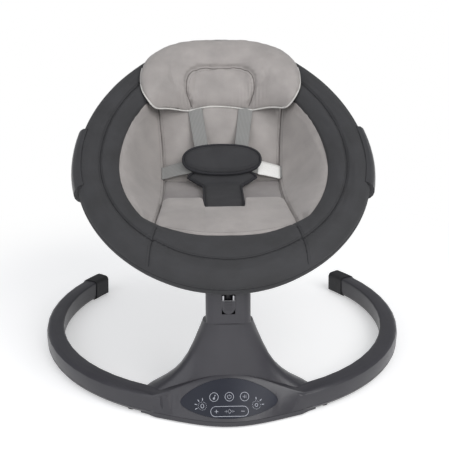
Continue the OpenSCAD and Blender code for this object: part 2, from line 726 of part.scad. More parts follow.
// Centre line radii of the four arcs, and the padding's outer outline
side_front_r = (pow(ring_a, 2) + pow(ring_front - front_r, 2) - pow(front_r, 2))
    / (2 * (ring_a - front_r));
side_head_r = (pow(ring_a, 2) + pow(ring_back - head_r, 2) - pow(head_r, 2))
    / (2 * (ring_a - head_r));
side_front_x = ring_a - side_front_r;
side_head_x = ring_a - side_head_r;
front_cy = front_r;
head_cy = ring_front + ring_back - head_r;
front_turn = atan2(ring_front - front_cy, -side_front_x);
head_turn = atan2(head_cy - ring_front, -side_head_x);

// Point of the outline at the normal angle a, moved inward by d
function oval_point(a, d) =
    let (side = abs(a) > 90 ? -1 : 1, b = abs(a) > 90 ? sign(a) * (180 - abs(a)) : a)
    b < -front_turn ? [side * (front_r - d) * cos(b), front_cy + (front_r - d) * sin(b)]
    : b < 0 ? [side * (side_front_x + (side_front_r - d) * cos(b)),
        ring_front + (side_front_r - d) * sin(b)]
    : b < head_turn ? [side * (side_head_x + (side_head_r - d) * cos(b)),
        ring_front + (side_head_r - d) * sin(b)]
    : [side * (head_r - d) * cos(b), head_cy + (head_r - d) * sin(b)];

// A section drawn as [distance inward, height], placed at the normal angle a
function section_at(a, section) =
    [for (p = section) let (q = oval_point(a, p[0])) [q[0], q[1], p[1]]];
function sections(a0, a1, n, section) =
    [for (i = [0 : n]) section_at(lerp(a0, a1, i / n), section)];

// Sides of the round sections that run along the ring
ring_sides = 10;
function disc(r, x = 0) = arc(x, 0, r, 0, -360 * (1 - 1 / ring_sides), ring_sides - 1);

// The two tubes meet at the widest place of the ring, tube_split apart
tube_split = 0.03;
function tube_rings(a0, a1, section) = concat([section_at(a0 + tube_split, section)],
    [for (a = [a0 + ring_step : ring_step : a1 - ring_step]) section_at(a, section)],
    [section_at(a1 - tube_split, section)]);
side_screw_r = 1.5;
module ring_tube(a0, a1) difference() {
    pipe(tube_rings(a0, a1, disc(tube_r, cover_r)),
        tube_rings(a0, a1, disc(tube_r - tube_wall, cover_r)));
    both_sides() side_boss_at(a0 < 0 ? boss_places[0] : boss_places[1])
        cylinder(r = side_screw_r + 0.1, h = cover_r, $fn = 24);
}
module lower_ring_tube() color(steel) seat_frame()
    ring_tube(-180, 0);
module upper_ring_tube() color(steel) seat_frame()
    ring_tube(0, 180);

// Share of a bend's length that a joint reaches into each tube
joint_share = 0.45;
module tube_joint() color(dark) seat_frame() {
    section = disc(tube_r - tube_wall - 0.1, cover_r);
    middle = section_at(0, section);
    loft([lerp(middle, section_at(-ring_step, section), joint_share), middle,
        lerp(middle, section_at(ring_step, section), joint_share)]);
}
module tube_joint_left() mirror([1, 0, 0]) tube_joint();
module tube_joint_right() tube_joint();

band_top = 10;
band_under = -3;
// The band is wider at the middle of the front, under the sitter's knees
band_extra_half = 46;
function band_at(a) = band_w + (abs(a + 90) < band_extra_half
    ? band_extra * cos((a + 90) * 90 / band_extra_half) : 0);
// Section of the cover: round padding over the tube, and the flat inner band
function cover_outline(w) = concat([[w - 2, band_top], [w, 3],
    [w - 1, band_under], [cover_r + 30, -7]], arc(cover_r, 0, cover_r, 340, 80, 11));
// Every piece that follows the ring bends at the same places, ring_step apart
ring_step = 10;
function place(i) = i * ring_step - 180;
ring_count = 360 / ring_step;

// Where the bracket grips the tube, in the axis frame
grip_dy = cover_r * cos(tilt) - seat_front;
grip_dz = seat_z + cover_r * sin(tilt) - neck_z;
grip_y = grip_dy * cos(lean) - grip_dz * sin(lean);
grip_z = grip_dy * sin(lean) + grip_dz * cos(lean);
grip_r = 17;
grip_hw = 30;

// Start and depth of the slit that lets the bracket's grip into the cover
slit_z = 30;
slit_depth = 100;
slit_gap = 0.6;
// Sewn round the tube, so it is one mesh with its slits cut
module ring_cover() color(cloth) resize([0, 0, 0]) difference() {
    seat_frame() loop([for (i = [0 : ring_count - 1])
        section_at(place(i), cover_outline(band_at(place(i))))]);
    seat_frame() loop([for (i = [0 : ring_count - 1])
        section_at(place(i), disc(tube_r + gap, cover_r))]);
    axis_frame() translate([-grip_hw - 1, grip_y - grip_r - slit_gap, slit_z])
        cube([2 * grip_hw + 2, slit_depth, grip_z + grip_r + slit_gap - slit_z]);
    seat_frame() both_sides() for (s = boss_places) side_boss_at(s)
        translate([0, 0, -2]) cylinder(r = boss_r + soft_gap, h = 60, $fn = 20);
}

module seat_bracket() color(plastic) difference() {
    axis_frame() {
        translate([0, 0, collar_h + 0.02]) linear_extrude(6)
            polygon(round_rect(neck_hw - 1.5, neck_hd - 1.5, collar_corner - 1.5));
        hull() {
            translate([-grip_hw, grip_y, grip_z]) rotate([0, 90, 0])
                cylinder(r = grip_r, h = 2 * grip_hw, $fn = 32);
            translate([-grip_hw, -neck_hd + 4, collar_h + 3]) cube([2 * grip_hw, 40, 3]);
        }
    }
    seat_frame() loft([for (a = [-100, -90, -80]) section_at(a, disc(tube_r + 0.2, cover_r))]);
    axis_frame() both_sides() translate([neck_hw - 11, 0, collar_h - 1]) {
        cylinder(r = 2.4, h = 10, $fn = 32);
        translate([0, 0, 7]) cylinder(r = 4.2, h = 60, $fn = 32);
    }
    axis_frame() translate([-20, -10, collar_h - 1]) cube([40, 36, 4]);
}

module bracket_screws() color(steel) axis_frame() both_sides()
    translate([neck_hw - 11, 0, collar_h + 6.1]) mirror([0, 0, 1]) screw(1.9, 18, 3.6, 2.4);

boss_places = [-40, 40];
boss_r = 5.5;
// Turns local Z to point inward, a distance s along the ring from its joint
module side_boss_at(s) {
    r = s < 0 ? side_front_r : side_head_r;
    cx = s < 0 ? side_front_x : side_head_x;
    translate([cx, ring_front, 0]) rotate([0, 0, s / r * 180 / PI]) translate([r, 0, 0])
        rotate([0, -90, 0]) children();
}

function side_outline() = concat(arc(cover_r, 0, cover_r + gap, 124, 236, 8),
    [for (i = [0 : 8]) let (a = lerp(236, 124, i / 8),
            r = cover_r + 1.6 + (side_proud - 1.6) * pow(sin((a - 124) / 112 * 180), 0.6))
        [cover_r + r * cos(a), r * sin(a)]]);

socket_w = 14;
socket_t = 3.4;
socket_depth = 30;
module side_cover() color(dark) seat_frame() {
    turn_f = side_len / side_front_r * 180 / PI;
    turn_h = side_len / side_head_r * 180 / PI;
    turn_s = socket_depth / side_head_r * 180 / PI;
    difference() {
        union() {
            loft(sections(-turn_f, turn_h, 8, side_outline()));
            for (s = boss_places) side_boss_at(s) translate([0, 0, -2])
                cylinder(r = boss_r, h = cover_r - tube_r + 1.9, $fn = 48);
        }
        for (s = boss_places) side_boss_at(s) {
            translate([0, 0, -20]) cylinder(r = side_screw_r + 0.1, h = 60, $fn = 24);
            translate([0, 0, -24.5]) cylinder(r = 3.1, h = 20, $fn = 24);
        }
        // Toy bar socket, open at the head end
        loft(sections(turn_h - turn_s, turn_h + 1, 3, [[-2.2, socket_w / 2],
            [-2.2, -socket_w / 2], [-2.2 - socket_t, -socket_w / 2],
            [-2.2 - socket_t, socket_w / 2]]));
    }
}
module side_cover_left() mirror([1, 0, 0]) side_cover();
module side_cover_right() side_cover();

side_screw_len = 25;
module side_screws() color(steel) seat_frame() both_sides() for (s = boss_places)
    side_boss_at(s) translate([0, 0, -4.5])
        screw(side_screw_r, side_screw_len, 2.9, 1.4);

// ---------- soft goods ----------

// Distance inward from the outer outline of the ring
function inset(x, s) = let (ax = abs(x)) s < ring_front
    ? (atan2(s - ring_front, ax - side_front_x) < -front_turn
        ? front_r - norm([ax, s - front_cy])
        : side_front_r - norm([ax - side_front_x, s - ring_front]))
    : (atan2(s - ring_front, ax - side_head_x) > head_turn
        ? head_r - norm([ax, s - head_cy])
        : side_head_r - norm([ax - side_head_x, s - ring_front]));

// Half width inside the inset d at the place s along the seat
function half_width(s, d) =
    s < front_cy - (front_r - d) * sin(front_turn)
        ? sqrt(max(1, pow(front_r - d, 2) - pow(s - front_cy, 2)))
    : s > head_cy + (head_r - d) * sin(head_turn)
        ? sqrt(max(1, pow(head_r - d, 2) - pow(s - head_cy, 2)))
    : let (q = s - ring_front, r = q < 0 ? side_front_r : side_head_r,
        cx = q < 0 ? side_front_x : side_head_x)
        cx + sqrt(max(1, pow(r - d, 2) - q * q));

crease_s = 336;
seat_start = 97;
back_end = 557;
// Height of the pads' surface on the centre line
function line_front(s) = 20 - (20 + seat_depth) * (s - seat_start) / (crease_s - seat_start);
function line_back(s) = -seat_depth + (seat_depth + 6) * (s - crease_s) / (back_end - crease_s);
function centre_height(s) = let (a = line_front(s), b = line_back(s))
    (a + b) / 2 + sqrt(pow((a - b) / 2, 2) + 100);
function cushion_edge(s) = cushion_hw + 0.0004 * pow(s - 320, 2);
// Height of the pads' surface anywhere inside the band
function pad_height(x, s) = let (e = cushion_edge(s), w = max(e + 1, half_width(s, band_w)),
    q = clamp01((abs(x) - e) / (w - e)))
    lerp(min(12, centre_height(s)), 12, pow(q, 1.25));

function pad_row(s, x0, x1, n) = [for (j = [0 : n])
    let (x = lerp(x0, x1, j / n)) [x, s, pad_height(x, s)]];
// The pads end a little inside the band
pad_inset = band_w + 1.5;
module pad(rows, t) sheet_solid(rows, [for (r = rows) [for (p = r) p - [0, 0, t]]]);

module back_cushion() color(liner) seat_frame() {
    rows = 10;
    pad([for (i = [0 : rows]) let (s = lerp(crease_s + 2, back_end - 2, i / rows),
        w = min(cushion_edge(s) - soft_gap, half_width(s, pad_inset))) pad_row(s, -w, w, 4)],
        pad_t);
}

// Front edge of the seat cushion, along the band
function front_edge(x) = front_cy + 1.5
    - sqrt(pow(front_r - band_at(-90 + asin(x / (front_r - band_w))), 2) - x * x);
seat_corner = front_edge(cushion_edge(140));
// The front of the cushion is a raised roll, cut out for the crotch pad
roll_back = 243;
roll_rise = 15;
notch_hw = 38;
notch_s = 203;
roll_step = 5;
roll_rows = 7;
recess_rows = 7;
function roll_end(x) = abs(x) < notch_hw ? notch_s : roll_back;
function roll_height(x, s) = pad_height(x, s)
    + roll_rise * pow(clamp01((s - seat_corner + 20) / (roll_back - seat_corner + 20)), 1.4)
    * (1 - pow(abs(x) / (cushion_edge(s) + 1), 6));
module seat_cushion() color(liner) seat_frame() {
    w = cushion_hw + 3;
    xs = [-1, -0.85, -0.66, -0.42 , -(notch_hw + 3) / w, -(notch_hw - 0.5) / w, 0,
        (notch_hw - 0.5) / w, (notch_hw + 3) / w, 0.42, 0.66, 0.85, 1];
    row = function (t, up) [for (u = xs)
        let (e = roll_end(u * w), s0 = front_edge(u * (cushion_edge(seat_corner) - soft_gap)),
            s = t <= 1 ? lerp(s0, e, t) : lerp(e + roll_step, crease_s - 2, t - 1),
            x = u * (cushion_edge(max(s, seat_corner)) - soft_gap))
        [x, s, up == 0 ? pad_height(x, s) - pad_t : t <= 1 ? roll_height(x, s)
            : pad_height(x, s)]];
    places = concat([for (i = [0 : roll_rows]) i / roll_rows],
        [for (i = [0 : recess_rows]) 1 + max(0.001, i / recess_rows)]);
    sheet_solid([for (t = places) row(t, 1)], [for (t = places) row(t, 0)]);
}

wing_front = 152;
wing_back = 472;
module wing() color(liner) seat_frame() {
    rows = 14;
    pad([for (i = [0 : rows]) let (s = lerp(wing_front, wing_back, i / rows))
        pad_row(s, cushion_edge(s) + soft_gap,
            max(cushion_edge(s) + 2, half_width(s, pad_inset)), 4)], pad_t - 4);
}
module wing_left() mirror([1, 0, 0]) wing();
module wing_right() wing();

sling_rim = 2 * cover_r + 0.7;
sling_mid = 330;
// Half width over which the sling stays level with its middle
sling_level = 26;
function sling_height(x, s) = let (d = inset(x, s), rim = -8,
    q = clamp01((d - sling_rim) / (band_w - 2 - sling_rim)),
    sag = 9 + 8 * exp(-pow((s - crease_s) / 55, 2)))
    lerp(rim, min(rim, pad_height(max(0, abs(x) - sling_level), s) - pad_t - sag), q);
module seat_sling() color(cloth) seat_frame() {
    spokes = 32;
    steps = 6;
    ring = function (k, h) [for (i = [0 : spokes - 1])
        let (a = 360 * (i + 0.5) / spokes - 180, e = oval_point(a, sling_rim),
            t = pow(k / steps, 1.25),
            x = lerp(e[0], 0, t), s = lerp(e[1], sling_mid, t))
        [x, s, sling_height(x, s) + h]];
    top_rings = [for (k = [0 : steps - 1]) ring(k, 0)];
    low_rings = [for (k = [steps - 1 : -1 : 0]) ring(k, -sling_t)];
    loft(concat([[for (p = top_rings[steps - 1]) [p[0] * 0.02, sling_mid
            + (p[1] - sling_mid) * 0.02, sling_height(0, sling_mid)]]],
        [for (k = [steps - 1 : -1 : 0]) top_rings[k]],
        [for (k = [steps - 1 : -1 : 0]) low_rings[k]],
        [[for (p = top_rings[steps - 1]) [p[0] * 0.02, sling_mid
            + (p[1] - sling_mid) * 0.02, sling_height(0, sling_mid) - sling_t]]]));
}

// Highest of cover and pads at a place, which the pillow rests on
function rest_height(x, s) = let (d = inset(x, s))
    d < cover_r + 8 ? cover_r
    : d < band_w + 8 ? lerp(cover_r, 13, (d - cover_r - 8) / (band_w - cover_r))
    : max(pad_height(x, s), 13 - (d - band_w - 8) * 1.2);

pillow_front = 474;
pillow_back = 604;
pillow_t = 28;
// The front edge is bowed, and hangs lower at its corners
pillow_bow = 26;
// Half width at the share v of the length, from -1 at the front to 1
function pillow_hw(v) = pillow_w / 2 * (v < -0.3
    ? 1 - 0.17 * pow((-0.3 - v) / 0.7, 2.5)
    : pow(max(0.01, 1 - pow((v + 0.3) / 1.32, 2.6)), 0.5));
module head_pillow() color(liner) seat_frame() {
    rows = 8;
    cols = 12;
    grid = function (up) [for (i = [0 : rows]) let (v = lerp(-1, 1, i / rows),
            w = pillow_hw(v))
        [for (j = [0 : cols]) let (u = lerp(-1, 1, j / cols), x = w * u,
            s = lerp(pillow_front - pillow_bow * u * u, pillow_back, i / rows),
            crown = pow(max(0, 1 - pow(abs(u), 4)), 0.5) * pow(max(0, 1 - pow(abs(v), 4)), 0.5))
            [x, s, rest_height(x, s) + 1 + up * (4 + (pillow_t - 4) * crown)]]];
    sheet_solid(grid(1), grid(0));
}

// The straps start just in front of the pillow's bowed edge
strap_start = pillow_front - 9;
strap_end = 387;
function strap_lift(k) = soft_gap + 14 * pow(k, 3);
module shoulder_strap() color(webbing) seat_frame() {
    rows = 10;
    grid = function (h) [for (i = [0 : rows]) let (k = i / rows, s = lerp(strap_start, strap_end, k),
            x = lerp(52, 38, k))
        [for (j = [-1, 0, 1]) [x + j * strap_w / 2, s, pad_height(x, s) + strap_lift(k) + h]]];
    sheet_solid(grid(strap_t), grid(0));
}
module shoulder_strap_left() mirror([1, 0, 0]) shoulder_strap();
module shoulder_strap_right() shoulder_strap();

belly_s = 362;
back_slope = atan2(seat_depth + 6, back_end - crease_s);
belly_lift = 26;
belly_n = -seat_depth + 10 + belly_lift + (belly_s - crease_s - 16) * tan(back_slope);
// Local frame of the belly pad, parallel to the back
module belly_frame() seat_frame() translate([0, belly_s, belly_n]) rotate([back_slope, 0, 0])
    children();

// Height of the belly pad's underside at the place s
function belly_under(s) = belly_n + (s - belly_s) * tan(back_slope);
function waist_row(s, t0 = 0, t1 = 1) = [for (k = [0 : 8]) let (t = lerp(t0, t1, k / 8))
    [lerp(cushion_edge(s) - 2, belly_w / 2 - 18, t), s + 4 * t,
        lerp(centre_height(s) + 2 * soft_gap, belly_under(s) - soft_gap - strap_t, pow(t, 0.8))]];
function lifted(rows, h) = [for (r = rows) [for (p = r) p + [0, 0, h]]];
function mirrored(rows) = [for (r = rows) [for (p = r) [-p[0], p[1], p[2]]]];
module waist_strap() color(webbing) seat_frame() {
    rows = mirrored([waist_row(crease_s + 10), waist_row(crease_s + 30)]);
    mirror([1, 0, 0]) sheet_solid(lifted(rows, strap_t), rows);
}
module waist_strap_left() mirror([1, 0, 0]) waist_strap();
module waist_strap_right() waist_strap();

module belly_pad() color(dark) belly_frame() linear_extrude(belly_t) polygon([for (i = [0 : 47])
    let (a = 7.5 * i, c = cos(a), s = sin(a))
    [belly_w / 2 * sign(c) * pow(abs(c), 0.9), belly_h / 2 * sign(s) * pow(abs(s), 0.9)]]);

crotch_front = 209;
crotch_back = 345;
crotch_t = 7;
// Half width of the crotch pad, wide at the buckle and narrow at the notch
function crotch_hw(s) = 36 + 34 * pow(clamp01((s - 240) / 70), 2);
// It lies on the seat, and rises to the buckle
function crotch_height(s) = max(centre_height(s) + 2 * soft_gap,
    belly_under(s) - soft_gap - crotch_t);
module crotch_pad() color(dark) seat_frame() {
    rows = 10;
    low = [for (i = [0 : rows]) let (s = lerp(crotch_front, crotch_back, i / rows))
        [for (j = [-3 : 3]) [crotch_hw(s) * min(1, (crotch_back + 14 - s) / 30) * j / 3, s,
            crotch_height(s)]]];
    sheet_solid(lifted(low, crotch_t), low);
}

buckle_t = 11;
buckle_y = 2;
buckle_top = -2.6;
button_r = 9;
button_proud = 1.6;
module buckle() color(dark) belly_frame() translate([0, buckle_y, buckle_top - buckle_t])
    difference() {
        linear_extrude(buckle_t) polygon(round_rect(24, 20, 7));
        translate([0, 0, buckle_t - 5]) cylinder(r = button_r + gap, h = 6, $fn = fine);
    }
module buckle_button() color([0.6, 0.6, 0.6]) belly_frame()
    translate([0, buckle_y, buckle_top - 2.9])
        cylinder(r = button_r, h = 2.9 + button_proud, $fn = fine);

tag_t = 0.6;
// Blank care label on the sitter's left waist strap
module care_tag() color("white") seat_frame() {
    rows = mirrored([waist_row(crease_s + 11, 0.2, 0.62), waist_row(crease_s + 29, 0.2, 0.62)]);
    top = lifted(rows, strap_t + 0.3);
    mirror([1, 0, 0]) sheet_solid(lifted(top, tag_t), top);
}

base_upper_shell();
base_lower_shell();
tip_cap_left();
tip_cap_right();
rubber_feet();
control_lens();
control_board();
speaker();
power_jack();
gear_motor();
motor_bracket();
bearing_carrier();
bearing_upper();
bearing_lower();
carrier_screws();
base_screws();
drive_pinion();
sector_gear();
swing_shaft();
shaft_ring();
neck_collar();
release_button();
release_spring();
latch_plate();
seat_bracket();
bracket_screws();
lower_ring_tube();
upper_ring_tube();
tube_joint_left();
tube_joint_right();
side_cover_left();
side_cover_right();
side_screws();
ring_cover();
seat_sling();
back_cushion();
seat_cushion();
wing_left();
wing_right();
head_pillow();
shoulder_strap_left();
shoulder_strap_right();
waist_strap_left();
waist_strap_right();
belly_pad();
crotch_pad();
buckle();
buckle_button();
care_tag();
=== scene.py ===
"""Looks of an electric baby swing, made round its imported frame.

The frame holds every rigid piece at its real size.  This script dresses those
pieces and makes the soft goods: the padded cover of the seat ring, the liner
of the bowl, the head pillow and the harness.  It also draws the plain signs
under the glass of the control panel.
"""

import json
import logging
import math
from contextlib import contextmanager
from dataclasses import dataclass
from enum import Enum
from typing import Callable, Dict, Iterator, List, Sequence, Tuple

import bmesh
import bpy
import numpy as np
from bmesh.types import BMesh
from bpy.types import ID, Material, Mesh, Node, NodeTree, Object
from mathutils import Matrix, Vector, noise
from mathutils.bvhtree import BVHTree


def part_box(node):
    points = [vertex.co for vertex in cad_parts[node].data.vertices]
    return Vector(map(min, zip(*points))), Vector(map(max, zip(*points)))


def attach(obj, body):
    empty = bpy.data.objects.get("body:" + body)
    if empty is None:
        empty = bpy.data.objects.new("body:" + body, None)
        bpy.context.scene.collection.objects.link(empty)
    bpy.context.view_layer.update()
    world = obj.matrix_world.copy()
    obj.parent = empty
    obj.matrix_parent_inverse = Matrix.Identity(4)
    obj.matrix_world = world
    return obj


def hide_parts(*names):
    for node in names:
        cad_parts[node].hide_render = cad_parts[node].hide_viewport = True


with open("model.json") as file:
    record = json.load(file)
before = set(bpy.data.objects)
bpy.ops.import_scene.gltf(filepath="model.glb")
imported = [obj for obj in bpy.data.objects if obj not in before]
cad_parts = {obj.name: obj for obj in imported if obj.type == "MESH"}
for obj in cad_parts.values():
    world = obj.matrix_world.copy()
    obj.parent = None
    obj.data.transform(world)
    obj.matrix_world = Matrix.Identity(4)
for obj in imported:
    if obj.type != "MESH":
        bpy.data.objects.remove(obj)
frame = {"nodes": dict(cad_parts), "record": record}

LOG = logging.getLogger("baby_swing")
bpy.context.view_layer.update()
MM = 0.001
SWING = "swing"
BASE = "base"
SHAFT_LEAN_DEG = 10.0
PIVOT_TO_CENTRE = 0.280
CORD_UP = Vector((0, -0.5, 0.87))

Pair = Tuple[float, float]
Point = Tuple[float, float, float]
Rows = List[List[Point]]
Line = Tuple[List[Pair], bool, float]  # path, whether it is a loop, width
Link = Tuple[Node, object]  # a node and its output, by name or number
Sockets = Dict[object, object]  # a node's inputs, with a value or a Link each
Stops = Sequence[Tuple[float, str]]  # places and colours of a ramp
NOISE, WAVE, RAMP = "ShaderNodeTexNoise", "ShaderNodeTexWave", "ShaderNodeValToRGB"


# ---------------------------------------------------------------- small helpers


def lerp(a: float, b: float, t: float) -> float:
    """Returns the value a share t of the way from a to b."""
    return a + (b - a) * t


def between(a: float, b: float, steps: int) -> List[float]:
    """Returns steps + 1 even values from a to b."""
    return [lerp(a, b, i / steps) for i in range(steps + 1)]


def clamp01(t: float) -> float:
    """Returns t held between 0 and 1."""
    return max(0.0, min(1.0, t))


def smooth(t: float) -> float:
    """Returns t eased at both ends of 0 to 1."""
    t = clamp01(t)
    return t * t * (3 - 2 * t)


def bell(distance: float, width: float) -> float:
    """Returns 1 at no distance, fading to 0 over a few widths."""
    return math.exp(-((distance / width) ** 2))


def dome(u: float, v: float, power_u: float, power_v: float) -> float:
    """Returns 1 in the middle of a pad, falling to 0 at its edges, where u or v is 1."""
    return (math.sqrt(max(0, 1 - abs(u) ** power_u))
            * math.sqrt(max(0, 1 - abs(v) ** power_v)))


def sided(name: str, side: int) -> str:
    """Returns a name with its side: left for -1, right for 1."""
    return f"{name}_{'left' if side < 0 else 'right'}"


def grids(lines: Sequence[float], places: Sequence[float],
          rule: Callable[[float, float], Tuple[Point, Point]]) -> Tuple[Rows, Rows]:
    """Draws a pad's two sides.

    Args:
        lines: Values of v, one for each row.
        places: Values of u, one for each column.
        rule: Takes (u, v) and returns the point on top and the one under it.

    Returns:
        Top grid and low grid.
    """
    both = [[rule(u, v) for u in places] for v in lines]
    return [[p[0] for p in row] for row in both], [[p[1] for p in row] for row in both]


def lowered(rows: Rows, depth: float) -> Rows:
    """Returns a grid of the seat moved down by a depth."""
    return [[(x, s, n - depth) for x, s, n in row] for row in rows]


def shade(code: str, gain: float) -> str:
    """Returns a written colour made lighter or darker by a gain."""
    parts = [min(255, max(0, round(int(code[i:i + 2], 16) * gain))) for i in (1, 3, 5)]
    return "#" + "".join(f"{p:02x}" for p in parts)


def srgb(code: str) -> Tuple[float, float, float, float]:
    """Turns a written sRGB colour into the linear one that the shader wants.

    Args:
        code: Six hex digits with a leading hash, such as "#4d4d4f".

    Returns:
        Linear red, green, blue and an alpha of 1.
    """
    def linear(pair: str) -> float:
        """Returns one channel as a linear value."""
        c = int(pair, 16) / 255
        return c / 12.92 if c <= 0.04045 else ((c + 0.055) / 1.055) ** 2.4

    return (linear(code[1:3]), linear(code[3:5]), linear(code[5:7]), 1.0)


def patchy(where: Link, size_mm: float, detail: float) -> Sockets:
    """Returns the inputs of a noise whose patches are about size_mm across."""
    return {"Scale": 1000 / size_mm, "Detail": detail, "Vector": where}


def wave_scale(period_mm: float) -> float:
    """Returns a Wave Texture's scale for bands period_mm apart."""
    return 2 * math.pi / 20 / (period_mm * MM)


# ---------------------------------------------------------------- finishes


class Wiring:
    """Adds nodes to a tree and links them."""

    def __init__(self, tree: NodeTree) -> None:
        """Takes a tree and empties it."""
        self.tree = tree
        tree.nodes.clear()

    def add(self, kind: str, sockets: Sockets = None, stops: Stops = (),
            **settings: object) -> Node:
        """Adds a node with its settings and links.

        Args:
            kind: Blender's name of the node.
            sockets: By name or number, an input's value or the link that comes in there.
            stops: Of a ramp, where each colour stands, and the colour.
            **settings: Properties of the node by name.

        Returns:
            The new node.
        """
        node = self.tree.nodes.new(kind)
        for key, value in settings.items():
            setattr(node, key, value)
        for into, value in (sockets or {}).items():
            if isinstance(value, tuple) and isinstance(value[0], Node):
                self.wire(*value, node, into)
            else:
                node.inputs[into].default_value = value
        for point, (place, colour) in zip(node.color_ramp.elements if stops else (), stops):
            point.position, point.color = place, srgb(colour)
        return node

    def wire(self, a: Node, out: object, b: Node, into: object) -> None:
        """Links output out of node a to input into of node b."""
        self.tree.links.new(a.outputs[out], b.inputs[into])


class NodeBench(Wiring):
    """A small bench for wiring one material's nodes."""

    def __init__(self, name: str) -> None:
        """Makes an empty material with a Principled shader and its output."""
        self.material = bpy.data.materials.new(name)
        self.material.use_nodes = True
        super().__init__(self.material.node_tree)
        self.shader = self.add("ShaderNodeBsdfPrincipled")
        self.add("ShaderNodeOutputMaterial", {"Surface": (self.shader, "BSDF")})
        self.coords = self.add("ShaderNodeTexCoord")

    def placed(self, turn: Point = (0, 0, 0), source: str = "Object",
               stretch: Point = (1, 1, 1)) -> Link:
        """Returns a set of coordinates, turned and stretched."""
        node = self.add("ShaderNodeMapping", {
            "Rotation": turn, "Scale": stretch, "Vector": (self.coords, source)})
        return node, "Vector"

    def tint(self, source: Link, colour: str, gains: Pair, places: Pair) -> None:
        """Colours the shader with a darker and a lighter shade of one colour."""
        stops = [(place, shade(colour, gain)) for place, gain in zip(places, gains)]
        self.wire(self.add(RAMP, {"Fac": source}, stops), "Color", self.shader, "Base Color")

    def relief(self, source: Link, depth_mm: float, **under: Link) -> Link:
        """Gives the shader a bump of depth_mm, on top of the bump Normal if given."""
        bump = self.add("ShaderNodeBump", {"Strength": 1.0, "Distance": depth_mm * MM,
                                           "Height": source, **under})
        self.wire(bump, "Normal", self.shader, "Normal")
        return bump, "Normal"

    def wear(self, source: Link, low: float, high: float) -> None:
        """Lets the shader's roughness go from low to high with a value."""
        node = self.add("ShaderNodeMapRange", {"To Min": low, "To Max": high, "Value": source})
        self.wire(node, "Result", self.shader, "Roughness")

    def set(self, **values: object) -> None:
        """Sets the shader's own sockets by name, with _ for a space."""
        for key, value in values.items():
            self.shader.inputs[key.replace("_", " ")].default_value = value


@dataclass(frozen=True)
class MouldedPlastic:
    """Injection-moulded plastic with a fine spark-eroded grain."""

    name: str
    colour: str
    roughness: float = 0.42
    grain_mm: float = 0.7
    grain_depth: float = 0.035
    coat: float = 0.0

    def make(self) -> Material:
        """Returns the plastic's material."""
        bench = NodeBench(self.name)
        where = bench.placed()
        tone, grain, touch = (bench.add(NOISE, patchy(where, size, detail)) for size, detail in (
            (60, 4), (self.grain_mm, 2), (22, 3)))
        bench.tint((tone, "Fac"), self.colour, (0.96, 1.04), (0.35, 0.65))
        bench.relief((grain, "Fac"), self.grain_depth)
        bench.wear((touch, "Fac"), self.roughness - 0.05, self.roughness + 0.07)
        bench.set(Coat_Weight=self.coat)
        return bench.material


@dataclass(frozen=True)
class WovenCloth:
    """Plain-woven polyester, lit a little along its threads."""

    name: str
    colour: str
    thread_mm: float = 0.9
    weave_depth: float = 0.06
    roughness: float = 0.72
    sheen: float = 0.25
    lean_deg: float = 30.0
    pile: float = 0.05
    gloss: float = 0.25
    weave_share: float = 0.6

    def make(self) -> Material:
        """Returns the cloth's material, its threads square to the seat."""
        bench = NodeBench(self.name)
        where = bench.placed(turn=(-math.radians(self.lean_deg), 0, 0))
        across, along = (bench.add(WAVE, {
            "Scale": wave_scale(self.thread_mm), "Distortion": 0.4, "Detail": 1,
            "Vector": where}, wave_type="BANDS", bands_direction=axis) for axis in ("X", "Y"))
        weave = bench.add("ShaderNodeMath", {0: (across, "Fac"), 1: (along, "Fac")},
                          operation="MULTIPLY")
        cloud, lint = (bench.add(NOISE, patchy(where, size, 4)) for size in (45, 3.5))
        soft = bench.add(RAMP, {"Fac": (cloud, "Fac")}, (
            (0.3, shade(self.colour, 0.95)), (0.7, shade(self.colour, 1.045))))
        deep = bench.add(RAMP, {"Fac": (weave, "Value")}, ((0.0, "#dcdcdc"), (0.6, "#ffffff")))
        base, veil, result = 6, 7, 2
        mix = bench.add("ShaderNodeMix", {"Factor": self.weave_share, base: (soft, "Color"),
                                          veil: (deep, "Color")},
                        data_type="RGBA", blend_type="MULTIPLY")
        bench.wire(mix, result, bench.shader, "Base Color")
        fuzz = bench.relief((lint, "Fac"), self.pile)
        bench.relief((weave, "Value"), self.weave_depth, Normal=fuzz)
        bench.set(Roughness=self.roughness, Sheen_Weight=self.sheen, Sheen_Roughness=0.45,
                  Specular_IOR_Level=self.gloss)
        return bench.material


@dataclass(frozen=True)
class Webbing:
    """Flat harness webbing, ribbed across, with bound edges, on its UV map."""

    name: str
    colour: str
    rib_mm: float = 1.4
    warp_mm: float = 25 / 9
    rib_share: float = 0.5

    def make(self) -> Material:
        """Returns the webbing's material; U runs across in metres and V along."""
        bench = NodeBench(self.name)
        where = bench.placed(source="UV")
        ribs, warp = (bench.add(WAVE, {"Scale": wave_scale(period), "Vector": where},
                                wave_type="BANDS", bands_direction=axis)
                      for axis, period in (("Y", self.rib_mm), ("X", self.warp_mm)))
        cloth = bench.add("ShaderNodeMath", {0: (ribs, "Fac"), 1: self.rib_share,
                                             2: (warp, "Fac")}, operation="MULTIPLY_ADD")
        bench.tint((cloth, "Value"), self.colour, (0.86, 1.06), (0.1, 1.2 / 1.5))
        bench.relief((cloth, "Value"), 0.18)
        bench.set(Roughness=0.7, Sheen_Weight=0.2)
        return bench.material


class Polish(Enum):
    """How a metal's surface was finished."""

    TURNED = (0.28, 40.0)
    PLATED = (0.22, 6.0)
    PAINTED = (0.5, 1.0)


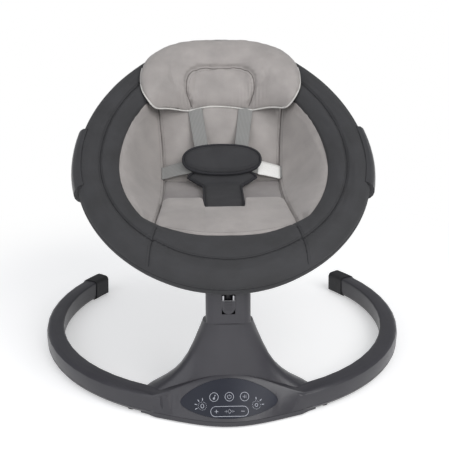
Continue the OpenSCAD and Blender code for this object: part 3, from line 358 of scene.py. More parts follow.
@dataclass(frozen=True)
class Metal:
    """Steel that was turned, plated or painted."""

    name: str
    colour: str
    polish: Polish

    def make(self) -> Material:
        """Returns the metal's material with fine lines along its turning."""
        bench = NodeBench(self.name)
        rough, stretch = self.polish.value
        where = bench.placed(turn=(-math.radians(SHAFT_LEAN_DEG), 0, 0), stretch=(1, 1, stretch))
        lines = bench.add(NOISE, patchy(where, 2.0, 3)), "Fac"
        bench.tint(lines, self.colour, (0.9, 1.06), (0.3, 0.7))
        bench.relief(lines, 0.02)
        bench.set(Roughness=rough, Metallic=0.0 if self.polish is Polish.PAINTED else 1.0)
        return bench.material


@dataclass(frozen=True)
class PanelGlass:
    """Dark glossy lens over the touch keys."""

    name: str
    colour: str

    def make(self) -> Material:
        """Returns the lens's material: a deep colour with a faint, soft shine."""
        bench = NodeBench(self.name)
        where = bench.placed()
        depth, touch = (bench.add(NOISE, patchy(where, *patch)) for patch in ((90, 2), (14, 4)))
        bench.tint((depth, "Fac"), self.colour, (0.93, 1.07), (0.3, 0.7))
        bench.wear((touch, "Fac"), 0.3, 0.42)
        bench.set(Coat_Weight=0.05, Coat_Roughness=0.2, Specular_IOR_Level=0.3)
        return bench.material


@dataclass(frozen=True)
class ScreenPrint:
    """Pale ink printed behind the panel's glass, or a plain printed label."""

    name: str
    colour: str

    def make(self) -> Material:
        """Returns the ink's material with a faint halftone."""
        bench = NodeBench(self.name)
        speck = bench.add(NOISE, patchy(bench.placed(), 1.2, 2))
        bench.tint((speck, "Fac"), self.colour, (0.93, 1), (0.3, 0.6))
        bench.set(Roughness=0.45)
        return bench.material


@dataclass(frozen=True)
class Rubber:
    """Soft dull rubber with a dusty surface."""

    name: str
    colour: str

    def make(self) -> Material:
        """Returns the rubber's material."""
        bench = NodeBench(self.name)
        where = bench.placed()
        dust, grain = (bench.add(NOISE, patchy(where, *patch)) for patch in ((9, 5), (1.1, 2)))
        bench.tint((dust, "Fac"), self.colour, (0.92, 1.12), (0.35, 0.75))
        bench.relief((grain, "Fac"), 0.05)
        bench.set(Roughness=0.62)
        return bench.material


class Palette:
    """Every finish of the swing, made once."""

    def __init__(self) -> None:
        """Makes the materials from their written colours."""
        self.shell = MouldedPlastic("base_satin_plastic", "#37363b", 0.34, coat=0.06).make()
        self.dark = MouldedPlastic("side_plate_plastic", "#373739", 0.34).make()
        self.hidden = MouldedPlastic("inner_plastic", "#2c2c2e", 0.5).make()
        self.grey = MouldedPlastic("buckle_button_plastic", "#7c7c80", 0.4).make()
        self.rubber = Rubber("sleeve_rubber", "#242426").make()
        self.lens = PanelGlass("panel_lens", "#1b1e2a").make()
        self.board = MouldedPlastic("circuit_board", "#1c5a3a", 0.3).make()
        self.ink = ScreenPrint("panel_ink", "#c9ccd6").make()
        self.label = ScreenPrint("blank_label_tape", "#ecebe8").make()
        self.steel = Metal("turned_steel", "#b9b9bd", Polish.TURNED).make()
        self.plated = Metal("plated_steel", "#c8c8cc", Polish.PLATED).make()
        self.tube = Metal("painted_tube", "#3a3a3c", Polish.PAINTED).make()
        self.cover = WovenCloth("cover_cloth", "#454547", sheen=0.06, gloss=0.12).make()
        self.cover_thread = WovenCloth("cover_thread", "#353537", sheen=0.05, gloss=0.1).make()
        self.liner = WovenCloth("liner_cloth", "#a9a4a1", thread_mm=0.7, roughness=0.55,
                                sheen=0.3, weave_depth=0.04).make()
        # A darker copy of the liner cloth, with the default gloss: painted shade for the seat's
        # recess behind the front roll.
        self.liner_painted_shade = WovenCloth("liner_cloth_painted_shade", "#9b9694", thread_mm=0.7).make()
        self.liner_thread = WovenCloth("liner_thread", "#6b6664").make()
        self.pad = WovenCloth("harness_pad_cloth", "#414143", sheen=0.06, gloss=0.12).make()
        self.trim = WovenCloth("harness_trim_cloth", "#37373a", thread_mm=1.3, sheen=0.06,
                               gloss=0.15).make()
        self.piping = WovenCloth("pillow_piping", "#d9d7d3", thread_mm=0.6).make()
        self.strap = Webbing("harness_webbing", "#868684").make()


# ---------------------------------------------------------------- shape of the seat


@dataclass(frozen=True)
class SeatForm:
    """The ring's outline and the bowl inside it, in millimetres.

    A place on the seat is (x, s, n): x across, s along the seat from its front
    and n square to the plane of the ring.
    """

    base_y: float
    ring_a: float = 270.0
    ring_front: float = 290.0
    ring_back: float = 346.0
    front_r: float = 240.0
    head_r: float = 190.0
    cover_r: float = 28.0
    band_w: float = 79.0
    band_extra: float = 33.0
    band_extra_half: float = 52.0
    tilt_deg: float = 30.0
    seat_front: float = 340.0
    seat_z: float = 240.0
    seat_start: float = 97.0
    crease_s: float = 336.0
    back_end: float = 557.0
    seat_depth: float = 105.0
    front_n: float = 20.0
    head_n: float = 6.0
    crease_r: float = 10.0
    rim_n: float = 12.0
    cushion_hw: float = 113.0
    cushion_waist_s: float = 320.0
    cushion_flare: float = 0.0004

    def side_arc(self, end: float, end_r: float) -> Pair:
        """Returns centre and radius of the side arc that meets an end arc."""
        reach = end - end_r
        r = (self.ring_a ** 2 + reach ** 2 - end_r ** 2) / (2 * (self.ring_a - end_r))
        return self.ring_a - r, r

    @property
    def front_arc(self) -> Pair:
        """Centre and radius of the side arc in front of the widest place."""
        return self.side_arc(self.ring_front, self.front_r)

    @property
    def back_arc(self) -> Pair:
        """Centre and radius of the side arc behind the widest place."""
        return self.side_arc(self.ring_back, self.head_r)

    @property
    def head_cy(self) -> float:
        """Centre of the head end's arc along the seat."""
        return self.ring_front + self.ring_back - self.head_r

    @property
    def front_turn(self) -> float:
        """Angle at which the front arc takes over, in radians."""
        return math.atan2(self.ring_front - self.front_r, -self.front_arc[0])

    @property
    def head_turn(self) -> float:
        """Angle at which the head arc takes over, in radians."""
        return math.atan2(self.head_cy - self.ring_front, -self.back_arc[0])

    def to_row(self, x: float, s: float, n: float) -> Vector:
        """Returns the place (x, s, n) in the object's frame, in metres."""
        t = math.radians(self.tilt_deg)
        y = self.base_y - self.seat_front + s * math.cos(t) - n * math.sin(t)
        z = self.seat_z + s * math.sin(t) + n * math.cos(t)
        return Vector((x, y, z)) * MM

    @property
    def up(self) -> Vector:
        """Direction square to the ring's plane, out of the bowl."""
        return (self.to_row(0, 0, 1) - self.to_row(0, 0, 0)).normalized()

    def from_row(self, point: Vector) -> Point:
        """Returns the seat's (x, s, n) of a point of the object, in millimetres."""
        t = math.radians(self.tilt_deg)
        y = point.y / MM - self.base_y + self.seat_front
        z = point.z / MM - self.seat_z
        s = y * math.cos(t) + z * math.sin(t)
        return point.x / MM, s, z * math.cos(t) - y * math.sin(t)

    def outline(self, a: float, d: float) -> Pair:
        """Returns the outline's point at the normal angle a, moved inward by d.

        Args:
            a: Angle of the outline's normal in degrees, -180 to 180, -90 in front.
            d: Distance inward from the outer outline.

        Returns:
            The point's x and s.
        """
        side = -1 if abs(a) > 90 else 1
        b = math.radians(math.copysign(180 - abs(a), a) if abs(a) > 90 else a)
        if b < -self.front_turn:
            cx, cy, r = 0.0, self.front_r, self.front_r
        elif b < 0:
            (cx, r), cy = self.front_arc, self.ring_front
        elif b < self.head_turn:
            (cx, r), cy = self.back_arc, self.ring_front
        else:
            cx, cy, r = 0.0, self.head_cy, self.head_r
        return side * (cx + (r - d) * math.cos(b)), cy + (r - d) * math.sin(b)

    def inset(self, x: float, s: float) -> float:
        """Returns how far a place lies inside the outer outline."""
        ax = abs(x)
        if s < self.ring_front:
            cx, r = self.front_arc
            if math.atan2(s - self.ring_front, ax - cx) < -self.front_turn:
                return self.front_r - math.hypot(ax, s - self.front_r)
        else:
            cx, r = self.back_arc
            if math.atan2(s - self.ring_front, ax - cx) > self.head_turn:
                return self.head_r - math.hypot(ax, s - self.head_cy)
        return r - math.hypot(ax - cx, s - self.ring_front)

    def half_width(self, s: float, d: float) -> float:
        """Returns the bowl's half width at s, inside the inset d."""
        r_front, r_head = self.front_r - d, self.head_r - d
        if s < self.front_r - r_front * math.sin(self.front_turn):
            return math.sqrt(max(1.0, r_front ** 2 - (s - self.front_r) ** 2))
        if s > self.head_cy + r_head * math.sin(self.head_turn):
            return math.sqrt(max(1.0, r_head ** 2 - (s - self.head_cy) ** 2))
        q = s - self.ring_front
        cx, r = self.front_arc if q < 0 else self.back_arc
        return cx + math.sqrt(max(1.0, (r - d) ** 2 - q * q))

    def band_at(self, a: float) -> float:
        """Returns the width of cover and band at the normal angle a."""
        off = abs(a + 90)
        if off >= self.band_extra_half:
            return self.band_w
        return self.band_w + self.band_extra * math.cos(math.radians(
            off * 90 / self.band_extra_half))

    def front_edge(self, x: float) -> float:
        """Returns s of the band's inner edge at the front of the bowl."""
        a = -90 + math.degrees(math.asin(max(-1, min(1, x / (self.front_r - self.band_w)))))
        return self.front_r - math.sqrt(max(1.0, (self.front_r - self.band_at(a)) ** 2 - x * x))

    def centre_height(self, s: float) -> float:
        """Returns the height of the bowl's surface on the centre line."""
        deep = -self.seat_depth
        a = lerp(self.front_n, deep, (s - self.seat_start) / (self.crease_s - self.seat_start))
        b = lerp(deep, self.head_n, (s - self.crease_s) / (self.back_end - self.crease_s))
        return (a + b) / 2 + math.hypot((a - b) / 2, self.crease_r)

    def cushion_edge(self, s: float) -> float:
        """Returns the half width of the seat and back panels at s."""
        return self.cushion_hw + self.cushion_flare * (s - self.cushion_waist_s) ** 2

    def pad_height(self, x: float, s: float, slope: float = 1.0) -> float:
        """Returns the height of the bowl's padded surface at a place.

        Args:
            x: Sideways place.
            s: Place along the seat.
            slope: Least run of the bowl's side, where the cover leaves it less.
        """
        e = self.cushion_edge(s)
        w = max(e + slope, self.half_width(s, self.band_w))
        low = min(self.rim_n, self.centre_height(s))
        return lerp(low, self.rim_n, clamp01((abs(x) - e) / (w - e)) ** 1.25)

    def rest_height(self, x: float, s: float) -> float:
        """Returns the top of cover and pads, which the pillow rests on."""
        d, rim = self.inset(x, s) - 8, self.rim_n + 1
        if d < self.cover_r:
            return self.cover_r
        if d < self.band_w:
            return lerp(self.cover_r, rim, (d - self.cover_r) / (self.band_w - self.cover_r))
        return max(self.pad_height(x, s), rim - (d - self.band_w) * 1.2)


# ---------------------------------------------------------------- meshes


@contextmanager
def edited(data: Mesh) -> Iterator[BMesh]:
    """Lends a mesh for editing and writes it back."""
    bm = bmesh.new()
    bm.from_mesh(data)
    yield bm
    bm.to_mesh(data)
    bm.free()


def linked(name: str, data: ID) -> Object:
    """Returns a new object of the scene that shows some data."""
    obj = bpy.data.objects.new(name, data)
    bpy.context.collection.objects.link(obj)
    return obj


def shade_smooth(data: Mesh) -> None:
    """Shades every face of a mesh smooth."""
    data.polygons.foreach_set("use_smooth", [True] * len(data.polygons))


def shape_tree(data: Mesh, place: Matrix = Matrix()) -> BVHTree:
    """Returns a mesh, moved to its place, as a tree that rays can be cast on."""
    return BVHTree.FromPolygons([place @ v.co for v in data.vertices],
                                [tuple(p.vertices) for p in data.polygons])


def skin(rings: int, sides: int, closed: bool, start: int = 0) -> List[Tuple[int, ...]]:
    """Returns the faces between rings of corners that follow one another.

    Args:
        rings: How many rings there are.
        sides: Corners of each ring.
        closed: Whether the last ring joins the first.
        start: Number of the first corner.

    Returns:
        Corner numbers of each face.
    """
    faces: List[Tuple[int, ...]] = []
    for i in range(rings if closed else rings - 1):
        a, b = start + i * sides, start + (i + 1) % rings * sides
        faces += [(a + k, a + (k + 1) % sides, b + (k + 1) % sides, b + k)
                  for k in range(sides)]
    return faces


class Workshop:
    """Makes meshes, finishes them and hangs them on the frame's bodies."""

    def __init__(self, form: SeatForm) -> None:
        """Keeps the seat's form, in which soft goods are drawn."""
        self.form = form
        self.made: List[str] = []

    def mesh(self, name: str, verts: Sequence[Vector], faces: Sequence[Sequence[int]],
             material: Material) -> Object:
        """Makes a smooth object from corners in metres and faces.

        Args:
            name: The piece's name.
            verts: Corners in the object's frame.
            faces: Corner numbers of each face.
            material: Its finish.

        Returns:
            The new object.
        """
        data = bpy.data.meshes.new(name)
        data.from_pydata([tuple(v) for v in verts], [], [tuple(f) for f in faces])
        data.validate()
        data.materials.append(material)
        shade_smooth(data)
        data.update()
        with edited(data) as bm:
            bmesh.ops.remove_doubles(bm, verts=bm.verts, dist=1e-6)
            bmesh.ops.recalc_face_normals(bm, faces=bm.faces)
        return linked(name, data)

    def slab(self, name: str, top: Rows, low: Rows, material: Material,
             uv: bool = False) -> Object:
        """Makes a closed slab between two grids drawn on the seat.

        Args:
            name: The piece's name.
            top: Upper grid of (x, s, n) in millimetres.
            low: Lower grid with as many rows and columns.
            material: Its finish.
            uv: Whether it gets a UV map in metres, U across and V along.

        Returns:
            The new object.
        """
        rows, cols = len(top), len(top[0])
        verts = [self.form.to_row(*p) for grid in (top, low) for row in grid for p in row]
        spot = lambda k, i, j: (k * rows + i) * cols + j
        faces = []
        for i in range(rows - 1):
            for j in range(cols - 1):
                faces.append((spot(0, i, j), spot(0, i, j + 1), spot(0, i + 1, j + 1),
                              spot(0, i + 1, j)))
                faces.append((spot(1, i, j), spot(1, i + 1, j), spot(1, i + 1, j + 1),
                              spot(1, i, j + 1)))
        rim = ([(0, j) for j in range(cols)] + [(i, cols - 1) for i in range(1, rows)]
               + [(rows - 1, j) for j in range(cols - 2, -1, -1)]
               + [(i, 0) for i in range(rows - 2, 0, -1)])
        for (a, b), (c, d) in zip(rim, rim[1:] + rim[:1]):
            faces.append((spot(0, a, b), spot(1, a, b), spot(1, c, d), spot(0, c, d)))
        obj = self.mesh(name, verts, faces, material)
        if uv:
            self.map_ribbon(obj, top, low)
        return obj

    def map_ribbon(self, obj: Object, top: Rows, low: Rows) -> None:
        """Gives a ribbon a UV map: U is metres across it, V metres along."""
        cell = lambda at: tuple(round(c * 1e5) for c in at)
        places: Dict[Tuple[int, int, int], Pair] = {}
        for grid in (top, low):
            along, last = 0.0, None
            for row in grid:
                mid = self.form.to_row(*row[len(row) // 2])
                along += (mid - last).length if last is not None else 0.0
                across, last, left = 0.0, mid, None
                for p in row:
                    at = self.form.to_row(*p)
                    across += (at - left).length if left is not None else 0.0
                    left = at
                    places[cell(at)] = (across, along)
        layer = obj.data.uv_layers.new(name="ribbon")
        for loop in obj.data.loops:
            at = obj.data.vertices[loop.vertex_index].co
            layer.data[loop.index].uv = places.get(cell(at), (0.0, 0.0))

    def tube(self, name: str, path: Sequence[Vector], radius_mm: float,
             material: Material, closed: bool = False, sides: int = 10,
             flat: float = 1.0, up: Vector = Vector((0, 0, 1))) -> Object:
        """Makes a round or flattened tube along a path.

        Args:
            name: The piece's name.
            path: Points in metres.
            radius_mm: Half its width.
            material: Its finish.
            closed: Whether the path is a loop.
            sides: Corners of its section.
            flat: Height as a share of the width.
            up: Direction in which it is flattened.

        Returns:
            The new object.
        """
        count = len(path)
        verts: List[Vector] = []
        for i, at in enumerate(path):
            before = path[(i - 1) % count] if closed or i else at
            after = path[(i + 1) % count] if closed or i < count - 1 else at
            along = (after - before).normalized()
            side = along.cross(up).normalized()
            top = side.cross(along)
            for k in range(sides):
                t = 2 * math.pi * k / sides
                verts.append(at + (side * math.cos(t) + top * math.sin(t) * flat) * radius_mm * MM)
        faces = skin(count, sides, closed)
        if not closed:
            faces.append(tuple(range(sides)))
            faces.append(tuple((count - 1) * sides + k for k in range(sides)))
        return self.mesh(name, verts, faces, material)

    def cord(self, name: str, path: Sequence[Vector], radius_mm: float,
             material: Material, slot: str, fill: float = 0.9,
             **form: object) -> None:
        """Sews a cord or a bound edge along a path.

        Args:
            name: The piece's name.
            path: Points in metres.
            radius_mm: Half its width.
            material: Its finish.
            slot: The record's material slot; not used.
            fill: How full the cord is; not used.
            **form: What tube takes: closed, sides, flat and up.
        """
        cord = self.tube(name, path, radius_mm, material, **form)
        self.hang(cord, slot)

    def refine(self, obj: Object, levels: int = 1) -> None:
        """Applies a subdivision surface to an object."""
        mod = obj.modifiers.new("fine", "SUBSURF")
        mod.levels = mod.render_levels = levels
        self.apply(obj)

    def apply(self, obj: Object) -> None:
        """Turns an object's modifiers into its mesh and removes them."""
        bpy.context.view_layer.update()
        deps = bpy.context.evaluated_depsgraph_get()
        fresh = bpy.data.meshes.new_from_object(obj.evaluated_get(deps))
        old = obj.data
        obj.modifiers.clear()
        obj.data = fresh
        fresh.name = obj.name
        bpy.data.meshes.remove(old)
        shade_smooth(fresh)

    def reshape(self, obj: Object, rule: Callable[[float, float, float], float]) -> None:
        """Moves an object's points along their normals by a rule.

        Args:
            obj: The piece.
            rule: Takes (x, s, n) and returns millimetres outward.
        """
        data = obj.data
        normals = [Vector(v.vector) for v in data.vertex_normals]
        for vert, normal in zip(data.vertices, normals):
            x, s, n = self.form.from_row(vert.co)
            vert.co += normal * rule(x, s, n) * MM
        data.update()

    def hang(self, obj: Object, slot: str, stands_for: Sequence[str] = (),
             body: str = SWING) -> Object:
        """Fixes a finished piece to its body and hides the frame's pieces that it stands for."""
        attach(obj, body)
        if stands_for:
            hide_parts(*stands_for)
        self.made.append(obj.name)
        LOG.info("%s: %d faces, on %s", obj.name, len(obj.data.polygons), body)
        return obj


@dataclass(frozen=True)
class ClothPress:
    """Swells a pad by pressing air into its cloth, then holds the result."""

    voxel_mm: float = 5.0
    pressure: float = 4.0
    frames: int = 20
    cap_mm: float = 7.0

    def run(self, shop: Workshop, obj: Object, held_below: float) -> None:
        """Remeshes and swells a pad, and subdivides it once.

        Args:
            shop: The workshop.
            obj: A closed pad.
            held_below: Share of the pad's own height under which it is pinned.
        """
        mod = obj.modifiers.new("even", "REMESH")
        mod.mode = "VOXEL"
        mod.voxel_size = self.voxel_mm * MM
        shop.apply(obj)
        self.relax(obj)
        self.swell(shop, obj, held_below)
        shop.refine(obj)

    def relax(self, obj: Object) -> None:
        """Smooths the steps that remeshing leaves."""
        with edited(obj.data) as bm:
            for _ in range(3):
                bmesh.ops.smooth_vert(bm, verts=bm.verts, factor=0.5, use_axis_x=True,
                                      use_axis_y=True, use_axis_z=True)

    def swell(self, shop: Workshop, obj: Object, held_below: float) -> None:
        """Runs the cloth and writes its last frame back, each move capped."""
        rest = [v.co.copy() for v in obj.data.vertices]
        normals = [Vector(v.vector) for v in obj.data.vertex_normals]
        pins = obj.vertex_groups.new(name="pins")
        for i, normal in enumerate(normals):
            if normal.dot(shop.form.up) < held_below:
                pins.add([i], 1.0, "REPLACE")
        cloth = obj.modifiers.new("cloth", "CLOTH")
        values = cloth.settings
        for key, value in (("quality", 5), ("mass", 0.3), ("tension_stiffness", 18),
                           ("compression_stiffness", 18), ("shear_stiffness", 8),
                           ("bending_stiffness", 0.6), ("use_pressure", True),
                           ("uniform_pressure_force", self.pressure),
                           ("vertex_group_mass", "pins")):
            setattr(values, key, value)
        values.effector_weights.gravity = 0
        cloth.point_cache.frame_start = 1
        cloth.point_cache.frame_end = self.frames
        scene = bpy.context.scene
        for number in range(1, self.frames + 1):
            scene.frame_set(number)
        swollen = obj.evaluated_get(bpy.context.evaluated_depsgraph_get())
        moved = [v.co.copy() for v in swollen.to_mesh().vertices]
        swollen.to_mesh_clear()
        obj.modifiers.clear()
        obj.vertex_groups.clear()
        for vert, was, now in zip(obj.data.vertices, rest, moved):
            step = now - was
            if step.length > self.cap_mm * MM:
                step *= self.cap_mm * MM / step.length
            vert.co = was + step
        obj.data.update()
        scene.frame_set(1)


class StitchRun:
    """Rows of sewing thread, laid along seams by Geometry Nodes."""

    def __init__(self, pitch_mm: float, length_mm: float, thick_mm: float,
                 thread: Material) -> None:
        """Builds the node tree.

        Args:
            pitch_mm: From one stitch to the next.
            length_mm: Of one stitch.
            thick_mm: Of the thread.
            thread: Its finish.
        """
        self.sizes = {"Pitch": pitch_mm * MM, "Length": length_mm * MM,
                      "Radius": thick_mm * MM / 2}
        self.thread = thread
        self.tree = self.grow()

    def grow(self) -> NodeTree:
        """Returns the tree: curve, even points, a stitch on each, one mesh."""
        tree = bpy.data.node_groups.new("stitch_run", "GeometryNodeTree")
        face = tree.interface
        face.new_socket(name="Seam", in_out="INPUT", socket_type="NodeSocketGeometry")
        for name in self.sizes:
            face.new_socket(name=name, in_out="INPUT", socket_type="NodeSocketFloat")
        face.new_socket(name="Stitches", in_out="OUTPUT", socket_type="NodeSocketGeometry")
        add = tree.nodes.new
        ends, out = add("NodeGroupInput"), add("NodeGroupOutput")
        curve, even = add("GeometryNodeMeshToCurve"), add("GeometryNodeResampleCurve")
        even.mode = "LENGTH"
        dots, turn = add("GeometryNodeCurveToPoints"), add("FunctionNodeAlignRotationToVector")
        dots.mode = "EVALUATED"
        turn.axis = "Z"
        stitch, lay = add("GeometryNodeMeshCylinder"), add("GeometryNodeInstanceOnPoints")
        stitch.inputs["Vertices"].default_value = 6
        real, paint = add("GeometryNodeRealizeInstances"), add("GeometryNodeSetMaterial")
        paint.inputs["Material"].default_value = self.thread
        for a, output, b, into in (
                (ends, "Seam", curve, "Mesh"), (curve, "Curve", even, "Curve"),
                (ends, "Pitch", even, "Length"), (even, "Curve", dots, "Curve"),
                (dots, "Tangent", turn, "Vector"), (dots, "Points", lay, "Points"),
                (turn, "Rotation", lay, "Rotation"), (ends, "Radius", stitch, "Radius"),
                (ends, "Length", stitch, "Depth"), (stitch, "Mesh", lay, "Instance"),
                (lay, "Instances", real, "Geometry"), (real, "Geometry", paint, "Geometry"),
                (paint, "Geometry", out, "Stitches")):
            tree.links.new(a.outputs[output], b.inputs[into])
        return tree

    def sew(self, shop: Workshop, name: str, seams: Sequence[Sequence[Vector]], slot: str) -> None:
        """Lays stitches along every seam, as one piece.

        Args:
            shop: The workshop.
            name: The piece's name.
            seams: Paths in metres, a little above the cloth.
            slot: The record's material slot; not used.
        """
        data = bpy.data.meshes.new(name)
        verts, edges = [], []
        for seam in seams:
            start = len(verts)
            verts += [tuple(p) for p in seam]
            edges += [(i, i + 1) for i in range(start, len(verts) - 1)]
        data.from_pydata(verts, edges, [])
        obj = linked(name, data)
        mod = obj.modifiers.new("stitches", "NODES")
        mod.node_group = self.tree
        for item in self.tree.interface.items_tree:
            if item.in_out == "INPUT" and item.name in self.sizes:
                mod[item.identifier] = self.sizes[item.name]
        shop.apply(obj)
        shop.hang(obj, slot)


def drop(shop: Workshop, obj: Object, places: Sequence[Pair], lift_mm: float) -> List[Vector]:
    """Returns points just above a piece, under places given across and along the seat.

    Args:
        shop: The workshop.
        obj: The piece that the points lie on.
        places: Pairs of x and s in millimetres.
        lift_mm: Height above the cloth.

    Returns:
        Points in metres, without those that miss the piece.
    """
    tree, up = shape_tree(obj.data), shop.form.up
    above = 120
    found = []
    for x, s in places:
        hit = tree.ray_cast(shop.form.to_row(x, s, above), -up)
        if hit[0] is not None:
            found.append(hit[0] + up * lift_mm * MM)
    return found


def wander(x: float, s: float, scale_mm: float, seed: float = 0.0) -> float:
    """Returns smooth noise between about -1 and 1 over the seat."""
    return noise.noise(Vector((x / scale_mm, s / scale_mm, seed)))


# ---------------------------------------------------------------- padded ring


@dataclass
class RingCover:
    """The dark padded cover sewn round the ring's tubes."""

    shop: Workshop
    paint: Palette
    seam_d: float = 46.0
    panel_outer_deg: float = 32.5
    panel_inner_deg: float = 42.0
    seam_depth: float = 2.6
    seam_width: float = 2.2
    seam_lift: float = 0.3
    stitch_lift: float = 0.15
    stitch_gap: float = 3.4
    hem_depth: float = 1.6
    hem_deg: float = 178.0
    back_deg: float = 338.0
    top_deg: float = 82.0
    inner_edge_n: float = 10.5
    crown: float = 3.6
    pucker: float = 0.5
    fold: float = 1.3
    cross_depth: float = 1.9
    cross_width_deg: float = 0.55
    cross_puff: float = 0.6
    cross_puff_deg: float = 4.0

    def cross_deg(self, d: float) -> float:
        """Returns how far from the front a cross seam runs at the distance d inward."""
        share = clamp01(d / self.shop.form.band_w)
        return lerp(self.panel_outer_deg, self.panel_inner_deg, share ** 1.15)

    def angles(self) -> List[float]:
        """Returns the normal angles of the sections, closest round the front panel."""
        marks, turn = [-180.0], -180.0
        while turn < 180:
            off = abs(turn + 90)
            turn += 0.42 if self.panel_outer_deg - 2 < off < self.panel_inner_deg + 2 else 1.25
            marks.append(turn)
        return marks[:-1]

    def seam_at(self, a: float) -> float:
        """Returns how far in the long seam runs; it steps in a little in front."""
        edge = self.cross_deg(self.seam_d)
        return self.seam_d + 3 * smooth((edge + 0.5 - abs(a + 90)) / 1.2)

    def profile(self, a: float) -> List[Pair]:
        """Returns the section at a normal angle, as distance inward and height."""
        form = self.shop.form
        r, w = form.cover_r, form.band_at(a)
        points = []
        for turn in between(self.back_deg, self.top_deg, 32):
            t = math.radians(turn)
            tight = r - self.hem_depth * bell(turn - self.hem_deg, 5.5)
            points.append((r + tight * math.cos(t), tight * math.sin(t)))
        top_d, top_h = points[-1]
        seam = self.seam_at(a)
        for q in between(0, 1, 24)[1:]:
            d = lerp(top_d, w - 2, q)
            h = lerp(top_h, self.inner_edge_n, q)
            free = clamp01((d - seam) / (w - 2 - seam))
            lobe = math.sin(math.pi * free) * self.crown
            points.append((d, h + lobe - self.seam_depth * bell(d - seam, self.seam_width)))
        points += [(w, 7.0), (w + 0.6, 3.5), (w - 1, -2), (w - 8, -4.5), (lerp(r, w, 0.6), -6.6)]
        return points

    def lift(self, a: float, d: float, h: float, run: float, on_top: bool) -> float:
        """Returns how far folds and seams move a corner of the section outward.

        Args:
            a: Normal angle of the section.
            d: The corner's distance inward.
            h: Its height.
            run: Length of the long seam up to the section.
            on_top: Whether the cross seams reach the corner.

        Returns:
            The distance in millimetres.
        """
        form = self.shop.form
        x, s = form.outline(a, d)
        side = math.atan2(h, d - form.cover_r)
        lift = self.fold * wander(x * 0.5, s * 0.5 + 90 * side, 26, 1.0)
        lift += 0.45 * wander(x, s, 11, 4.0)
        lift += self.pucker * math.sin(run * 0.62) * bell(d - self.seam_d, 7)
        if on_top:
            gap = abs(a + 90) - self.cross_deg(d)
            lift -= self.cross_depth * bell(gap, self.cross_width_deg)
            lift += self.cross_puff * bell(gap, self.cross_puff_deg) * math.sin(d * 0.5)
        return lift

    def build(self) -> None:
        """Sweeps the section round the ring and works in seams and folds."""
        form, verts, rings = self.shop.form, [], self.angles()
        count = len(self.profile(0))
        top_from, top_to, tuck_from = 19, count - 5, count - 6
        run, last = 0.0, None
        for a in rings:
            here = form.outline(a, self.seam_d)
            run += math.dist(here, last) if last else 0.0
            last = here
            for k, (d, h) in enumerate(self.profile(a)):
                lift = self.lift(a, d, h, run, top_from < k < top_to) if k <= tuck_from else 0
                on_side = d < form.cover_r * 1.2
                rise = math.sin(math.atan2(h, d - form.cover_r)) if on_side else 1
                verts.append(form.to_row(*form.outline(a, d), h + lift * rise))
        faces = skin(len(rings), count, closed=True)
        cover = self.shop.mesh("padded_ring_cover", verts, faces, self.paint.cover)
        self.shop.refine(cover)
        self.shop.hang(cover, "ring_cloth", ("ring_cover",))
        self.seams(cover)

    def seams(self, cover: Object) -> None:
        """Sews the long seam, the two cross seams of the front panel and the hem."""
        form = self.shop.form
        long_seam = [form.outline(a, self.seam_at(a)) for a in range(-180, 180)]
        lines = [(drop(self.shop, cover, long_seam, self.seam_lift), True)]
        rows = []
        for off in (-self.stitch_gap, self.stitch_gap):
            path = [form.outline(a, self.seam_at(a) + off) for a in range(-180, 181)]
            rows.append(drop(self.shop, cover, path, self.stitch_lift))
        for side in (-1, 1):
            for turn, lift in ((0.0, self.seam_lift), (1.1, self.stitch_lift)):
                path = [form.outline(-90 + side * (self.cross_deg(d) + turn), d)
                        for d in between(3.5, form.band_w - 2, 40)]
                seam = drop(self.shop, cover, path, lift)
                if turn:
                    rows.append(seam)
                else:
                    lines.append((seam, False))
        t, r = math.radians(self.hem_deg), form.cover_r - self.hem_depth + 0.2
        hem = [form.to_row(*form.outline(-180 + i, form.cover_r + r * math.cos(t)),
                           r * math.sin(t)) for i in range(360)]
        lines.append((hem, True))
        for i, (path, closed) in enumerate(lines):
            self.shop.cord(f"cover_seam_{i + 1}", path, 0.8, self.paint.cover_thread,
                           "ring_cloth", closed=closed, sides=6)
        run = StitchRun(3.4, 2.3, 0.45, self.paint.cover_thread)
        run.sew(self.shop, "cover_stitching", rows, "ring_cloth")


